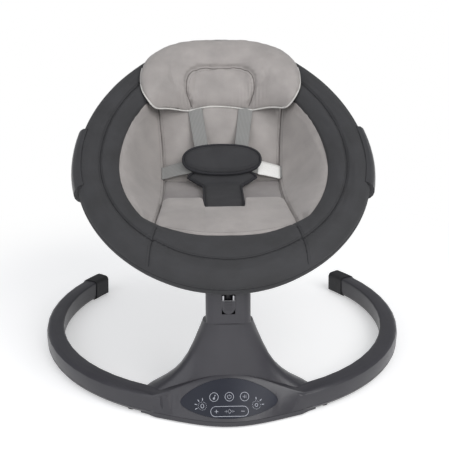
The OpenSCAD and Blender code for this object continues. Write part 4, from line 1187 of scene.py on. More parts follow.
@dataclass
class SeatSling:
    """Cloth stretched under the pads from the ring, seen from below."""

    shop: Workshop
    paint: Palette
    spokes: int = 96
    steps: int = 22
    thick: float = 1.5
    middle_s: float = 330.0
    rim_n: float = -8.0
    gap: float = 16.0
    ease: float = 26.0
    slope: float = 46.0
    pulls: int = 5

    @property
    def rim_d(self) -> float:
        """Distance inward at which the cloth leaves the cover."""
        return 2 * self.shop.form.cover_r - 1.6

    def height(self, x: float, s: float) -> float:
        """Returns the cloth's height under a place of the seat."""
        form = self.shop.form
        q = clamp01((form.inset(x, s) - self.rim_d) / (form.band_w - 2 - self.rim_d))
        sag = 9 + 8 * bell(s - form.crease_s, 55)
        under = form.pad_height(max(0.0, abs(x) - self.ease), s, self.slope) - self.gap - sag
        return lerp(self.rim_n, min(self.rim_n, under), q)

    def spots(self) -> Rows:
        """Returns the cloth's places in seat coordinates, with its folds pulled smooth."""
        form = self.shop.form
        rows = []
        for k in range(self.steps):
            t = (k / self.steps) ** 1.15
            row = []
            for i in range(self.spokes):
                ex, es = form.outline(360 * (i + 0.5) / self.spokes - 180, self.rim_d)
                x, s = lerp(ex, 0, t), lerp(es, self.middle_s, t)
                row.append((x, s, self.height(x, s)))
            rows.append(row)
        for _ in range(self.pulls):
            deep = [[p[2] for p in row] for row in rows]
            for k in range(1, self.steps - 1):
                for i, (x, s, n) in enumerate(rows[k]):
                    near = (deep[k][i - 1] + deep[k][(i + 1) % self.spokes]
                            + deep[k - 1][i] + deep[k + 1][i])
                    rows[k][i] = (x, s, (2 * n + near) / 6)
        return [[(x, s, n + 0.7 * wander(x, s, 30, 8.0) * clamp01(k / 3)) for x, s, n in row]
                for k, row in enumerate(rows)]

    def build(self) -> None:
        """Makes the sling as one thin closed sheet."""
        form = self.shop.form
        cloth = self.spots()
        hub_n = self.height(0, self.middle_s)
        verts = [form.to_row(*p) for depth in (0.0, self.thick)
                 for row in lowered(cloth, depth) for p in row]
        verts += [form.to_row(0, self.middle_s, hub_n - depth) for depth in (0.0, self.thick)]
        spot = lambda f, k, i: (f * self.steps + k) * self.spokes + i % self.spokes
        faces, last = [], self.steps - 1
        for f in (0, 1):
            faces += [(spot(f, k, i), spot(f, k, i + 1), spot(f, k + 1, i + 1),
                       spot(f, k + 1, i)) for k in range(last) for i in range(self.spokes)]
            hub = 2 * self.steps * self.spokes + f
            faces += [(spot(f, last, i), spot(f, last, i + 1), hub) for i in range(self.spokes)]
        faces += [(spot(0, 0, i), spot(1, 0, i), spot(1, 0, i + 1), spot(0, 0, i + 1))
                  for i in range(self.spokes)]
        sling = self.shop.mesh("stretched_sling", verts, faces, self.paint.cover)
        self.shop.hang(sling, "ring_cloth", ("seat_sling",))


# ---------------------------------------------------------------- liner


@dataclass
class Liner:
    """Light padded panels inside the bowl: back, two wings and the front roll."""

    shop: Workshop
    paint: Palette
    thick: float = 16.0
    roll_front: float = 100.0
    roll_back: float = 243.0
    roll_high: float = 13.0
    roll_low: float = -36.0
    notch_s: float = 209.0
    notch_hw: float = 37.0
    wing_front: float = 134.0
    wing_back: float = 491.0
    wing_tuck: float = 11.0
    wing_dip: float = 6.0
    wing_slope: float = 24.0
    swell: float = 1.5
    seam_back: float = 478.0
    stitch_lift: float = 0.1

    def crowned(self, rows: Rows, drop_mm: float, thick: float) -> Tuple[Rows, Rows]:
        """Lowers a grid's rim so that the pad is crowned, and gives its underside.

        Args:
            rows: The surface that the finished pad reaches.
            drop_mm: How far the rim lies below it.
            thick: Of the pad at its middle.

        Returns:
            Top grid and low grid.
        """
        lines, places = between(-1, 1, len(rows) - 1), between(-1, 1, len(rows[0]) - 1)
        top = [[(x, s, n - drop_mm * (1 - dome(u, v, 7, 7)) - self.swell)
                for u, (x, s, n) in zip(places, row)] for v, row in zip(lines, rows)]
        return top, lowered(rows, thick)

    def back(self) -> Object:
        """Makes the back panel with its long soft folds."""
        form = self.shop.form
        rows: Rows = []
        for s in between(form.crease_s + 3, form.back_end, 24):
            w = min(form.cushion_edge(s) + 2.5, form.half_width(s, form.band_w - 3))
            rows.append([(x, s, form.pad_height(x, s)) for x in between(-w, w, 18)])
        pad = self.shop.slab("back_panel", *self.crowned(rows, 5.5, self.thick),
                             self.paint.liner)
        ClothPress(voxel_mm=4.5, cap_mm=2.5).run(self.shop, pad, 0.2)
        self.shop.reshape(pad, lambda x, s, n: 1.1 * wander(x, s * 0.45, 34, 2.0)
                          + 0.4 * wander(x, s, 12, 3.0))
        return self.shop.hang(pad, "liner_cloth", ("back_cushion",))

    def wing(self, side: int) -> Object:
        """Makes the padded wing of one side, 1 for the sitter's left."""
        form = self.shop.form
        rows: Rows = []
        for s in between(self.wing_front, self.wing_back, 32):
            e = form.cushion_edge(s) - 2.5
            w = max(e + self.wing_slope, form.half_width(s, form.band_w - self.wing_tuck))
            w = min(w, max(e + 5, form.half_width(s, 2 * form.cover_r + 3)))
            rows.append([(side * x, s, form.pad_height(x, s, self.wing_slope) - self.wing_dip
                          * clamp01((x - w + self.wing_tuck) / self.wing_tuck))
                         for x in between(e, w, 12)])
        pad = self.shop.slab(sided("wing_pad", side), *self.crowned(rows, 2.5, self.thick - 3),
                             self.paint.liner)
        ClothPress(voxel_mm=4.5, cap_mm=2).run(self.shop, pad, 0.2)
        self.shop.reshape(pad, lambda x, s, n: 1.3 * wander(x * 0.7, s * 0.5, 40, 5.0 + side)
                          + 0.4 * wander(x, s, 13, 6.0))
        return self.shop.hang(pad, "liner_cloth", (sided("wing", side),))

    def roll_height(self, x: float, s: float) -> float:
        """Returns the height of the front roll over a place."""
        q = clamp01((s - self.roll_front) / (self.roll_back - self.roll_front))
        plain = lerp(self.roll_high, self.roll_low, q ** 1.1)
        level = self.shop.form.pad_height(x, s)
        edge = smooth((abs(x) - 100) / 22)
        return lerp(plain, max(level + 1, min(plain, level + 7)), edge)

    def roll_rows(self) -> List[float]:
        """Returns the roll's rows from front to back, close at both edges."""
        inner = [0.1 + 0.8 * i / 14 for i in range(15)]
        return [0.0, 0.015, 0.05] + inner + [0.95, 0.985, 1.0]

    def roll_columns(self) -> List[float]:
        """Returns the roll's columns from side to side, close at edges and notch."""
        notch = [(self.notch_hw + off) / self.shop.form.cushion_hw
                 for off in (-6, -2.5, -0.6, 0.9, 2.6, 6)]
        side = [0.02 + 0.055 * i for i in range(5)] + notch
        side += [0.43 + 0.065 * i for i in range(8)] + [0.955, 0.985, 1.0]
        return [-u for u in reversed(side)] + side

    def roll_point(self, u: float, v: float) -> Tuple[Point, Point]:
        """Returns the roll's top and underside at u across it and v back along it."""
        form = self.shop.form
        w = form.cushion_edge(lerp(self.wing_front, self.roll_back, v)) - 1.5 * v
        x = w * u if abs(u) > 0.6 else form.cushion_hw * u
        notch = smooth((self.notch_hw + 2.5 - abs(x)) / 3)
        s = lerp(form.front_edge(x) - 3.5, lerp(self.roll_back, self.notch_s, notch), v)
        level, puff = self.roll_height(x, s), math.sin(math.pi * v) * (2.4 + bell(x, 60))
        return ((x, s, level - 7 * (1 - dome(2 * v - 1, u, 22, 40)) + puff),
                (x, s, min(form.pad_height(x, s) - 12, level - 14)))

    def front_roll(self) -> Object:
        """Makes the raised front roll, cut out where the crotch pad comes up."""
        pad = self.shop.slab("front_roll", *grids(self.roll_rows(), self.roll_columns(),
                                                  self.roll_point), self.paint.liner)
        self.shop.refine(pad)
        self.shop.reshape(pad, lambda x, s, n: 0.7 * wander(x * 0.6, s, 24, 7.0)
                          + 0.25 * wander(x, s, 10, 9.0))
        self.shop.refine(pad)
        return self.shop.hang(pad, "liner_cloth", ("seat_cushion",))

    def recess(self) -> None:
        """Makes the low part of the seat behind the front roll, in the darker liner copy that
        paints the shade there.
        """
        form = self.shop.form
        rows: Rows = []
        for s in between(self.notch_s - 6, form.crease_s + 6, 14):
            w = form.cushion_edge(s) + 1
            rows.append([(x, s, form.pad_height(x, s) - 4.2 - 0.8 * wander(x, s, 25, 11.0))
                         for x in between(-w, w, 16)])
        # The recess is drawn in the darker liner copy: painted shade behind the roll.
        pad = self.shop.slab("seat_recess", rows, lowered(rows, 8), self.paint.liner_painted_shade)
        self.shop.refine(pad)
        self.shop.hang(pad, "liner_cloth")

    def beside(self, side: int, off: float, start: float, end: float, steps: int) -> List[Pair]:
        """Returns a path that runs off millimetres outside the back's edge."""
        edge = self.shop.form.cushion_edge
        return [(side * (edge(s) + off), s) for s in between(start, end, steps)]

    def seams(self, back: Object, wings: Sequence[Object], roll: Object) -> None:
        """Sews the panels' edges."""
        form, end = self.shop.form, self.seam_back
        lines = [(back, self.beside(side, -5, form.crease_s + 10, end + 2, 50))
                 for side in (-1, 1)]
        for side, wing in zip((1, -1), wings):
            lines.append((wing, self.beside(side, 5, self.wing_front + 12, end, 70)))
            fold = self.beside(side, 0.6, self.wing_front + 6, end, 80)
            self.shop.cord(sided("wing_seam", side), drop(self.shop, wing, fold, 0.2), 0.8,
                           self.paint.liner_thread, "liner_cloth", sides=6)
        lines.append((roll, [(x, form.front_edge(x) + 6) for x in between(-104, 104, 60)]))
        rows = [drop(self.shop, pad, path, self.stitch_lift) for pad, path in lines]
        StitchRun(3.2, 2.1, 0.45, self.paint.liner_thread).sew(
            self.shop, "liner_stitching", rows, "liner_cloth")

    def build(self) -> None:
        """Makes every panel and sews them."""
        back = self.back()
        wings = [self.wing(1), self.wing(-1)]
        roll = self.front_roll()
        self.recess()
        self.seams(back, wings, roll)


class SeamDistance:
    """Distances from places of the seat to a seam."""

    def __init__(self, path: Sequence[Pair]) -> None:
        """Keeps the seam's points, spaced out evenly."""
        points: List[Pair] = []
        for a, b in zip(path, path[1:]):
            steps = max(1, int(math.dist(a, b) / 1.5))
            points += [(lerp(a[0], b[0], k / steps), lerp(a[1], b[1], k / steps))
                       for k in range(steps)]
        self.points = np.array(points + [path[-1]])

    def to(self, x: float, s: float) -> float:
        """Returns the distance from a place to the seam."""
        gap = self.points - (x, s)
        return float(np.sqrt((gap * gap).sum(axis=1).min()))


@dataclass
class HeadPillow:
    """Soft head support with an arched seam and a pale piped edge."""

    shop: Workshop
    paint: Palette
    front: float = 478.0
    back: float = 604.0
    width: float = 314.0
    bow: float = 42.0
    bow_power: float = 2.6
    widest_v: float = -0.3
    taper: float = 0.17
    round_span: float = 1.32
    thick: float = 28.0
    arch_foot: float = 57.0
    arch_hw: float = 67.0
    arch_top: float = 533.0
    arch_side: float = 495.0
    edge_t: float = 7.0
    groove: float = 4.6
    groove_width: float = 3.4
    gather: float = 0.8

    def half(self, v: float) -> float:
        """Returns the half width at the share v of the length, from -1 to 1."""
        off = v - self.widest_v
        if off < 0:
            return self.width / 2 * (1 - self.taper * (-off / (1 + self.widest_v)) ** 2.5)
        return self.width / 2 * math.sqrt(max(0.01, 1 - (off / self.round_span) ** 2.6))

    def edge_at(self, u: float) -> float:
        """Returns s of the lower edge at the share u of the half width."""
        return self.front - self.bow * abs(u) ** self.bow_power

    def hem_wave(self, x: float) -> float:
        """Returns the slight wave of the lower edge."""
        return 1.1 * math.sin(x * 0.055 + 2.4)

    def arch(self) -> List[Pair]:
        """Returns the arched seam's path, up one side, over and down the other."""
        up = [(-lerp(self.arch_foot, self.arch_hw, math.sin(i * math.pi / 24)),
               lerp(self.front - 2, self.arch_side, i / 12)) for i in range(12)]
        over = []
        for share in between(1, 0, 40):
            c, q = math.cos(math.pi * share), math.sin(math.pi * share)
            over.append((self.arch_hw * math.copysign(abs(c) ** 0.72, c),
                         lerp(self.arch_side, self.arch_top, q ** 0.8)))
        down = [(-x, s) for x, s in reversed(up)]
        return up + over + down

    def lift(self, x: float, s: float, n: float, seam: SeamDistance) -> float:
        """Returns how far a point of the pillow moves outward, for its seam and gathers."""
        if n <= self.shop.form.rest_height(x, s) + 4:
            return 0.0
        d = seam.to(x, s)
        ends = min(math.hypot(abs(x) - self.arch_foot, s - self.front), 60)
        groove = 0.9 * bell(d - 13, 9) - self.groove * bell(d, self.groove_width)
        gathers = self.gather * math.sin(x * 0.9) * bell(ends, 22)
        gathers += 0.5 * math.sin(s * 0.8) * bell(d, 9)
        return (groove + gathers + 1.2 * wander(x * 0.6, s, 30, 12.0)
                + 0.5 * wander(x, s, 11, 13.0))

    def point(self, u: float, v: float) -> Tuple[Point, Point]:
        """Returns the pillow's top and underside at the shares u and v of its size."""
        form = self.shop.form
        x, s = self.half(v) * u, lerp(self.edge_at(u), self.back, (v + 1) / 2)
        base = form.rest_height(x, s)
        s += self.hem_wave(x) * clamp01(-v * 3 - 2)
        crown = (self.thick - self.edge_t - 4) * dome(u, v, 4, 4)
        return (x, s, base + self.edge_t + crown), (x, s, base - 0.5)

    def build(self) -> None:
        """Makes the pillow, swells it and works in its seam and gathers."""
        pad = self.shop.slab("head_pillow_pad", *grids(between(-1, 1, 26), between(-1, 1, 40),
                                                       self.point), self.paint.liner)
        ClothPress(voxel_mm=4.0, cap_mm=7).run(self.shop, pad, 0.1)
        arch = self.arch()
        seam = SeamDistance(arch)
        self.shop.reshape(pad, lambda x, s, n: self.lift(x, s, n, seam))
        self.shop.hang(pad, "liner_cloth", ("head_pillow",))
        rows = [drop(self.shop, pad, [(x * 0.93, s - 4) for x, s in arch], 0.1)]
        StitchRun(3.0, 2.0, 0.45, self.paint.liner_thread).sew(
            self.shop, "pillow_stitching", rows, "liner_cloth")
        self.shop.cord("pillow_seam", drop(self.shop, pad, arch, 0.35), 0.75,
                       self.paint.liner_thread, "liner_cloth", sides=6)
        self.piping()

    def piping(self) -> None:
        """Sews pale piping round the pillow's lower edge and sides."""
        form = self.shop.form
        left = [(-self.half(v), lerp(self.edge_at(1), self.back, (v + 1) / 2))
                for v in between(0.05, -1, 24)]
        end = self.half(-1)
        hem = [(x, self.edge_at(x / end) + self.hem_wave(x)) for x in between(-end, end, 60)[1:-1]]
        right = [(-x, s) for x, s in reversed(left)]
        path = [form.to_row(x * 0.994, s - 0.2, form.rest_height(x, s) + 3.0)
                for x, s in left + hem + right]
        for _ in range(6):
            path[1:-1] = [(a + b * 2 + c) / 4 for a, b, c in zip(path, path[1:], path[2:])]
        self.shop.cord("pillow_piping", path, 1.7, self.paint.piping, "liner_cloth", up=CORD_UP)


# ---------------------------------------------------------------- harness


@dataclass
class Harness:
    """Shoulder and waist webbing, belly pad, crotch pad and a blank label."""

    shop: Workshop
    paint: Palette
    strap_w: float = 28.0
    strap_t: float = 2.0
    strap_lift: float = 4.2
    waist_w: float = 24.0
    label_w: float = 27.0
    label_t: float = 0.5
    belly_s: float = 362.0
    belly_n: float = -64.0
    belly_w: float = 151.0
    belly_h: float = 60.0
    slope_deg: float = 26.67
    crotch_front: float = 196.0
    crotch_back: float = 353.0
    crotch_t: float = 7.0
    notch_hw: float = 37.0
    flare_s: float = 303.0
    flare_run: float = 29.0
    flare: float = 30.0
    flare_in: float = 26.0
    waist_s: float = 350.0
    bound_in: float = 0.6
    belly_sewn_in: float = 7.5
    crotch_sewn_in: float = 6.0
    crotch_sewn_to: float = 330.0
    thread_lift: float = 0.1

    def belly_under(self, s: float) -> float:
        """Returns the height of the belly pad's underside at s."""
        return self.belly_n + (s - self.belly_s) * math.tan(math.radians(self.slope_deg))

    def belly_place(self, bx: float, by: float, bz: float) -> Point:
        """Returns the seat's place of a point drawn on the belly pad."""
        c, k = math.cos(math.radians(self.slope_deg)), math.sin(math.radians(self.slope_deg))
        return bx, self.belly_s + by * c - bz * k, self.belly_n + by * k + bz * c

    def oval(self, t: float, grow: float = 0.0) -> Pair:
        """Returns a point of the belly pad's outline, t from 0 to 1 round it."""
        c, k = math.cos(2 * math.pi * t), math.sin(2 * math.pi * t)
        return ((self.belly_w / 2 + grow) * math.copysign(abs(c) ** 0.84, c),
                (self.belly_h / 2 + grow) * math.copysign(abs(k) ** 0.84, k))

    def strap(self, name: str, rows: Rows) -> Object:
        """Makes a webbing strap under a grid."""
        return self.shop.slab(name, rows, lowered(rows, self.strap_t), self.paint.strap, uv=True)

    def shoulder(self, side: int) -> None:
        """Makes one shoulder strap, from under the pillow to the belly pad."""
        form = self.shop.form
        rows: Rows = []
        for k in between(0, 1, 32):
            s, x = lerp(492, 382, k), lerp(53, 38, k)
            free = form.pad_height(x, s) + self.strap_lift
            n = lerp(free, self.belly_under(s) - 3.4, smooth((k - 0.25) / 0.75))
            n += 0.5 * math.sin(k * 7 + side)
            wide = self.strap_w + lerp(1.5, -1.5, k)
            rows.append([(side * (x + wide * q), s,
                          max(n, free) + 0.5 * (1 - (2 * q) ** 2) + side * 0.7 * q)
                         for q in (-0.5, -0.44, -0.3, -0.1, 0.1, 0.3, 0.44, 0.5)])
        strap = self.strap(sided("shoulder_webbing", side), rows)
        self.shop.hang(strap, "webbing", (sided("shoulder_strap", side),))

    def waist_place(self, s: float, t: float) -> Point:
        """Returns the middle of the waist strap at a share t of its length."""
        form = self.shop.form
        x = lerp(form.cushion_edge(s) + 4, self.belly_w / 2 - 18, t)
        low, high = form.pad_height(x, s) + 1.0, self.belly_under(s) - 2.6
        return x, s + 4 * t, lerp(low, high, t ** 0.8)

    def waist(self, side: int) -> None:
        """Makes one waist strap, rising from the wing seam to the belly pad."""
        rows: Rows = []
        for t in between(0, 1, 24):
            row = []
            for q in (-0.5, -0.44, -0.2, 0.2, 0.44, 0.5):
                x, s, n = self.waist_place(self.waist_s + self.waist_w * q, t)
                row.append((side * x, s, n + 0.4 * math.sin(9 * t) * q + 2.2))
            rows.append(row)
        strap = self.strap(sided("waist_webbing", side), rows)
        self.shop.hang(strap, "webbing", (sided("waist_strap", side),))

    def label(self) -> None:
        """Makes the blank label folded over the waist strap."""
        rows: Rows = []
        for t in between(0.06, 0.8, 12):
            row = []
            for q in (-0.5, -0.3, 0, 0.3, 0.5):
                x, s, n = self.waist_place(self.waist_s - 1 + self.label_w * q, t)
                row.append((x, s, n + 2.9 + 0.35 * math.sin(5 * t + 3 * q)))
            rows.append(row)
        tag = self.shop.slab("blank_label", rows, lowered(rows, self.label_t), self.paint.label)
        self.shop.hang(tag, "label_cloth", ("care_tag",))

    def belly_point(self, u: float, v: float) -> Tuple[Point, Point]:
        """Returns the belly pad's top and underside at u across it and v up it."""
        r = max(abs(u), abs(v), 1e-6)
        ex, ey = self.oval(math.atan2(v, u) / (2 * math.pi), -1.0)
        return (self.belly_place(ex * r, ey * r, 6 + 7 * dome(r, 0, 4, 1)),
                self.belly_place(ex * r, ey * r, 1.0))

    def belly(self) -> Object:
        """Makes the oval belly pad, crowned; its bound edge is sewn by bind_belly."""
        pad = self.shop.slab("belly_pad_cloth", *grids(between(-1, 1, 24), between(-1, 1, 40),
                                                       self.belly_point), self.paint.pad)
        ClothPress(voxel_mm=3.0, cap_mm=3).run(self.shop, pad, 0.1)
        self.shop.reshape(pad, lambda x, s, n: 0.5 * wander(x, s, 14, 15.0)
                          + 0.25 * wander(x, s, 6, 16.0))
        return self.shop.hang(pad, "pad_cloth", ("belly_pad",))

    def bind_belly(self) -> None:
        """Sews a bound edge round the belly pad."""
        form, inset, rise, count = self.shop.form, self.bound_in, 5.2, 96
        path = [form.to_row(*self.belly_place(*self.oval(i / count, -inset), rise))
                for i in range(count)]
        up = (form.to_row(*self.belly_place(0, 0, 1)) - form.to_row(*self.belly_place(0, 0, 0)))
        self.shop.cord("belly_binding", path, 2.5, self.paint.trim, "pad_cloth", fill=0.8,
                       closed=True, sides=12, flat=1.5, up=up.normalized())

    def bind_crotch(self, side: int) -> None:
        """Sews a bound edge along one side of the crotch pad."""
        form, inset, rise, count = self.shop.form, self.bound_in, 4.6, 64
        edge = [form.to_row(side * (self.crotch_hw(s) - inset), s, self.crotch_height(s) + rise)
                for s in between(self.crotch_front + 2, self.crotch_back - 4, count)]
        self.shop.cord(sided("crotch_binding", side), edge, 2.0, self.paint.trim,
                       "pad_cloth", fill=0.8, sides=10, flat=1.7, up=CORD_UP)

    def binding(self, belly: Object, crotch: Object) -> None:
        """Binds the two pads' edges and sews a row of stitches inside them."""
        self.bind_belly()
        spots = [self.belly_place(*self.oval(t, -self.belly_sewn_in), 8)[:2]
                 for t in between(0, 1, 120)]
        rows = [drop(self.shop, belly, spots, self.thread_lift)]
        for side in (-1, 1):
            self.bind_crotch(side)
            spots = [(side * (self.crotch_hw(s) - self.crotch_sewn_in), s)
                     for s in between(self.crotch_front + 4, self.crotch_sewn_to, 40)]
            rows.append(drop(self.shop, crotch, spots, self.thread_lift))
        StitchRun(2.6, 1.8, 0.4, self.paint.cover_thread).sew(
            self.shop, "harness_stitching", rows, "pad_cloth")

    def crotch_hw(self, s: float) -> float:
        """Returns the crotch pad's half width at s."""
        out = clamp01((s - self.flare_s) / self.flare_run)
        back = smooth((s - self.flare_s - self.flare_run) / 22)
        return self.notch_hw + self.flare * out ** 2.2 - self.flare_in * back

    def crotch_height(self, s: float) -> float:
        """Returns the height of the crotch pad's underside at s."""
        return max(self.shop.form.centre_height(s) + 0.8,
                   self.belly_under(s) - 0.4 - self.crotch_t)

    def crotch_point(self, u: float, v: float) -> Tuple[Point, Point]:
        """Returns the crotch pad's top and underside at u across it and v back along it."""
        s = lerp(self.crotch_front, self.crotch_back, (v + 1) / 2)
        base, x = self.crotch_height(s), (self.crotch_hw(s) - 1) * u
        crown = 4.5 * dome(u, v, 6, 14) + 0.5 * wander(x, s, 16, 17.0)
        return (x, s, base + 3.5 + crown), (x, s, base + 0.6)

    def crotch(self) -> Object:
        """Makes the crotch pad, rising from the notch to the buckle."""
        pad = self.shop.slab("crotch_pad_cloth", *grids(between(-1, 1, 48), between(-1, 1, 20),
                                                        self.crotch_point), self.paint.pad)
        self.shop.refine(pad)
        return self.shop.hang(pad, "pad_cloth", ("crotch_pad",))

    def build(self) -> None:
        """Makes the whole harness."""
        for side in (-1, 1):
            self.shoulder(side)
            self.waist(side)
        self.label()
        self.binding(self.belly(), self.crotch())


# ---------------------------------------------------------------- base


@dataclass
class ControlPanel:
    """Plain signs printed behind the panel's lens."""

    shop: Workshop
    paint: Palette
    lens_node: str = "control_lens"
    face_rise: float = 64.0
    face_run: float = 47.0
    line: float = 0.7
    thin_share: float = 0.8
    thick: float = 0.12
    circle_r: float = 7.3
    circle_gap: float = 26.0
    circle_up: float = 2.8
    pill_hw: float = 32.0
    pill_hh: float = 8.4
    pill_up: float = -21.6
    key_x: float = 22.4
    key_arm: float = 3.0
    heart: float = 3.4
    note_x: float = 1.2
    note_top: float = 3.6
    power_r: float = 3.2
    dial_x: float = 46.0
    dial_up: float = -11.5

    def __post_init__(self) -> None:
        """Finds the lens and the direction in which it faces."""
        self.thin = self.line * self.thin_share
        obj = frame["nodes"][self.lens_node]
        self.tree = shape_tree(obj.data, obj.matrix_world)
        low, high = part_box(self.lens_node)
        self.middle = (Vector(low) + Vector(high)) / 2
        rise = math.atan2(self.face_rise, self.face_run)
        self.up = Vector((0, math.cos(rise), math.sin(rise)))
        self.out = Vector((0, -math.sin(rise), math.cos(rise)))

    def seen(self, x: float, v: float) -> Tuple[Vector, Vector]:
        """Returns a place on the panel's plane, and the lens's point behind it or None."""
        start = self.middle + Vector((x * MM, 0, 0)) + self.up * v * MM
        return start, self.tree.ray_cast(start + self.out * 0.05, -self.out)[0]

    def spot(self, x: float, v: float) -> Vector:
        """Returns the point of the lens's face at x across and v up it."""
        start, hit = self.seen(x, v)
        return hit if hit is not None else start

    def on_lens(self, x: float, v: float) -> bool:
        """Tells whether a place lies well on the lens's face."""
        return self.seen(x * 1.04, v - 2)[1] is not None

    def ribbon(self, path: Sequence[Pair], closed: bool,
               verts: List[Vector], faces: List[Tuple[int, ...]], width: float) -> None:
        """Adds one printed line to the sign's mesh.

        Args:
            path: Points on the lens in millimetres.
            closed: Whether the line is a loop.
            verts: Corners so far.
            faces: Faces so far.
            width: Of the line.
        """
        count, start = len(path), len(verts)
        for i, (x, v) in enumerate(path):
            bx, bv = path[(i - 1) % count] if closed or i else (x, v)
            ax, av = path[(i + 1) % count] if closed or i < count - 1 else (x, v)
            dx, dv = ax - bx, av - bv
            size = math.hypot(dx, dv) or 1.0
            nx, nv = -dv / size * width / 2, dx / size * width / 2
            for k, lift in ((1, 0.02), (-1, 0.02), (-1, self.thick), (1, self.thick)):
                verts.append(self.spot(x + nx * k, v + nv * k) + self.out * lift * MM)
        faces += skin(count, 4, closed, start)
        if not closed:
            faces.append((start, start + 1, start + 2, start + 3))
            end = start + 4 * (count - 1)
            faces.append((end + 3, end + 2, end + 1, end))

    def ring(self, cx: float, cv: float, r: float, a0: float = 0, a1: float = 360,
             count: int = 40) -> List[Pair]:
        """Returns points of an arc on the lens."""
        turns = [math.radians(a) for a in between(a0, a1, count)]
        if a1 - a0 >= 360:
            turns.pop()
        return [(cx + r * math.cos(a), cv + r * math.sin(a)) for a in turns]

    def pill(self) -> List[Pair]:
        """Returns the outline of the key with round ends."""
        mid, p = self.pill_hw - self.pill_hh, self.pill_up
        right = self.ring(mid, p, self.pill_hh, -90, 90, 16)
        left = self.ring(-mid, p, self.pill_hh, 90, 270, 16)
        steps = between(mid, -mid, 12)[1:-1]
        top = [(x, p + self.pill_hh) for x in steps]
        foot = [(-x, p - self.pill_hh) for x in steps]
        return right + top + left + foot

    def bar(self, x: float, v: float, tall: float) -> Line:
        """Returns a thin upright line that reaches tall above and below its middle."""
        return [(x, v - tall), (x, v + tall)], False, self.thin

    def note(self, x: float, v: float) -> List[Line]:
        """Returns a music note: a stem, a round head and a flag."""
        top = (x, v + self.note_top)
        return [([top, (x, v - 2.2)], False, self.thin),
                (self.ring(x - 1.4, v - 2.4, 1.2, count=14), True, 1.0),
                ([top, (x + 1.8, v + 2.0)], False, self.thin)]

    def power(self, v: float) -> List[Line]:
        """Returns a ring that is broken at its top, with a stroke in the gap."""
        return [(self.ring(0, v, self.power_r, 125, 415, 22), False, self.thin),
                ([(0, v + 1.0), (0, v + 4.2)], False, self.thin)]

    def keys(self, p: float) -> List[Line]:
        """Returns the long key's plus, minus and diamond with its side bars."""
        key, arm, heart = self.key_x, self.key_arm, self.heart
        across = [([(x - arm, p), (x, p), (x + arm, p)], False, self.line) for x in (-key, key)]
        upright = ([(-key, p - arm), (-key, p), (-key, p + arm)], False, self.line)
        diamond = ([(-heart, p), (0, p + heart), (heart, p), (0, p - heart)], True, self.thin)
        return [across[0], upright, across[1], diamond] + [
            self.bar(side * off, p, tall) for side in (-1, 1)
            for off, tall in ((5.6, 1.8), (7.6, 0.9))]

    def signs(self) -> List[Line]:
        """Returns every printed line."""
        gap, v = self.circle_gap, self.circle_up
        lines = [(self.pill(), True, self.line)]
        lines += [(self.ring(off, v, self.circle_r), True, self.line) for off in (-gap, 0, gap)]
        lines += self.note(self.note_x - gap, v) + self.power(v)
        lines += [self.bar(gap + off, v, tall)
                  for off, tall in ((-2.4, 1.2), (0, 3.0), (2.4, 2.0))]
        return lines + self.keys(self.pill_up) + self.dials()

    def dials(self) -> List[Line]:
        """Returns the two side signs: a scale of ticks round a broken ring."""
        fine, v = self.line, self.dial_up
        lines = [([(x * 0.72 - self.dial_x * 0.28, y) for x, y in
                   self.ring(-self.dial_x, v, 3.4, count=24)], True, fine),
                 (self.ring(self.dial_x, v, 2.4, count=20), True, fine)]
        for x, marks in ((-self.dial_x, (88, 126, 164, 202, 240)),
                         (self.dial_x, (92, 48, 6))):
            for a in range(0, 360, 24):
                lines.append((self.ring(x, v, 6.8, a, a + 9, 3), False, fine))
            for a in marks:
                c, k = math.cos(math.radians(a)), math.sin(math.radians(a))
                lines.append(([(x + 9.2 * c, v + 9.2 * k), (x + 13.4 * c, v + 13.4 * k)],
                              False, fine * 1.6))
        return [line for line in lines if all(self.on_lens(*p) for p in line[0])]

    def build(self) -> None:
        """Prints all the signs as one thin piece on the lens."""
        verts: List[Vector] = []
        faces: List[Tuple[int, ...]] = []
        for path, closed, width in self.signs():
            self.ribbon(path, closed, verts, faces, width)
        signs = self.shop.mesh("panel_signs", verts, faces, self.paint.ink)
        self.shop.hang(signs, "panel_lens", body=BASE)


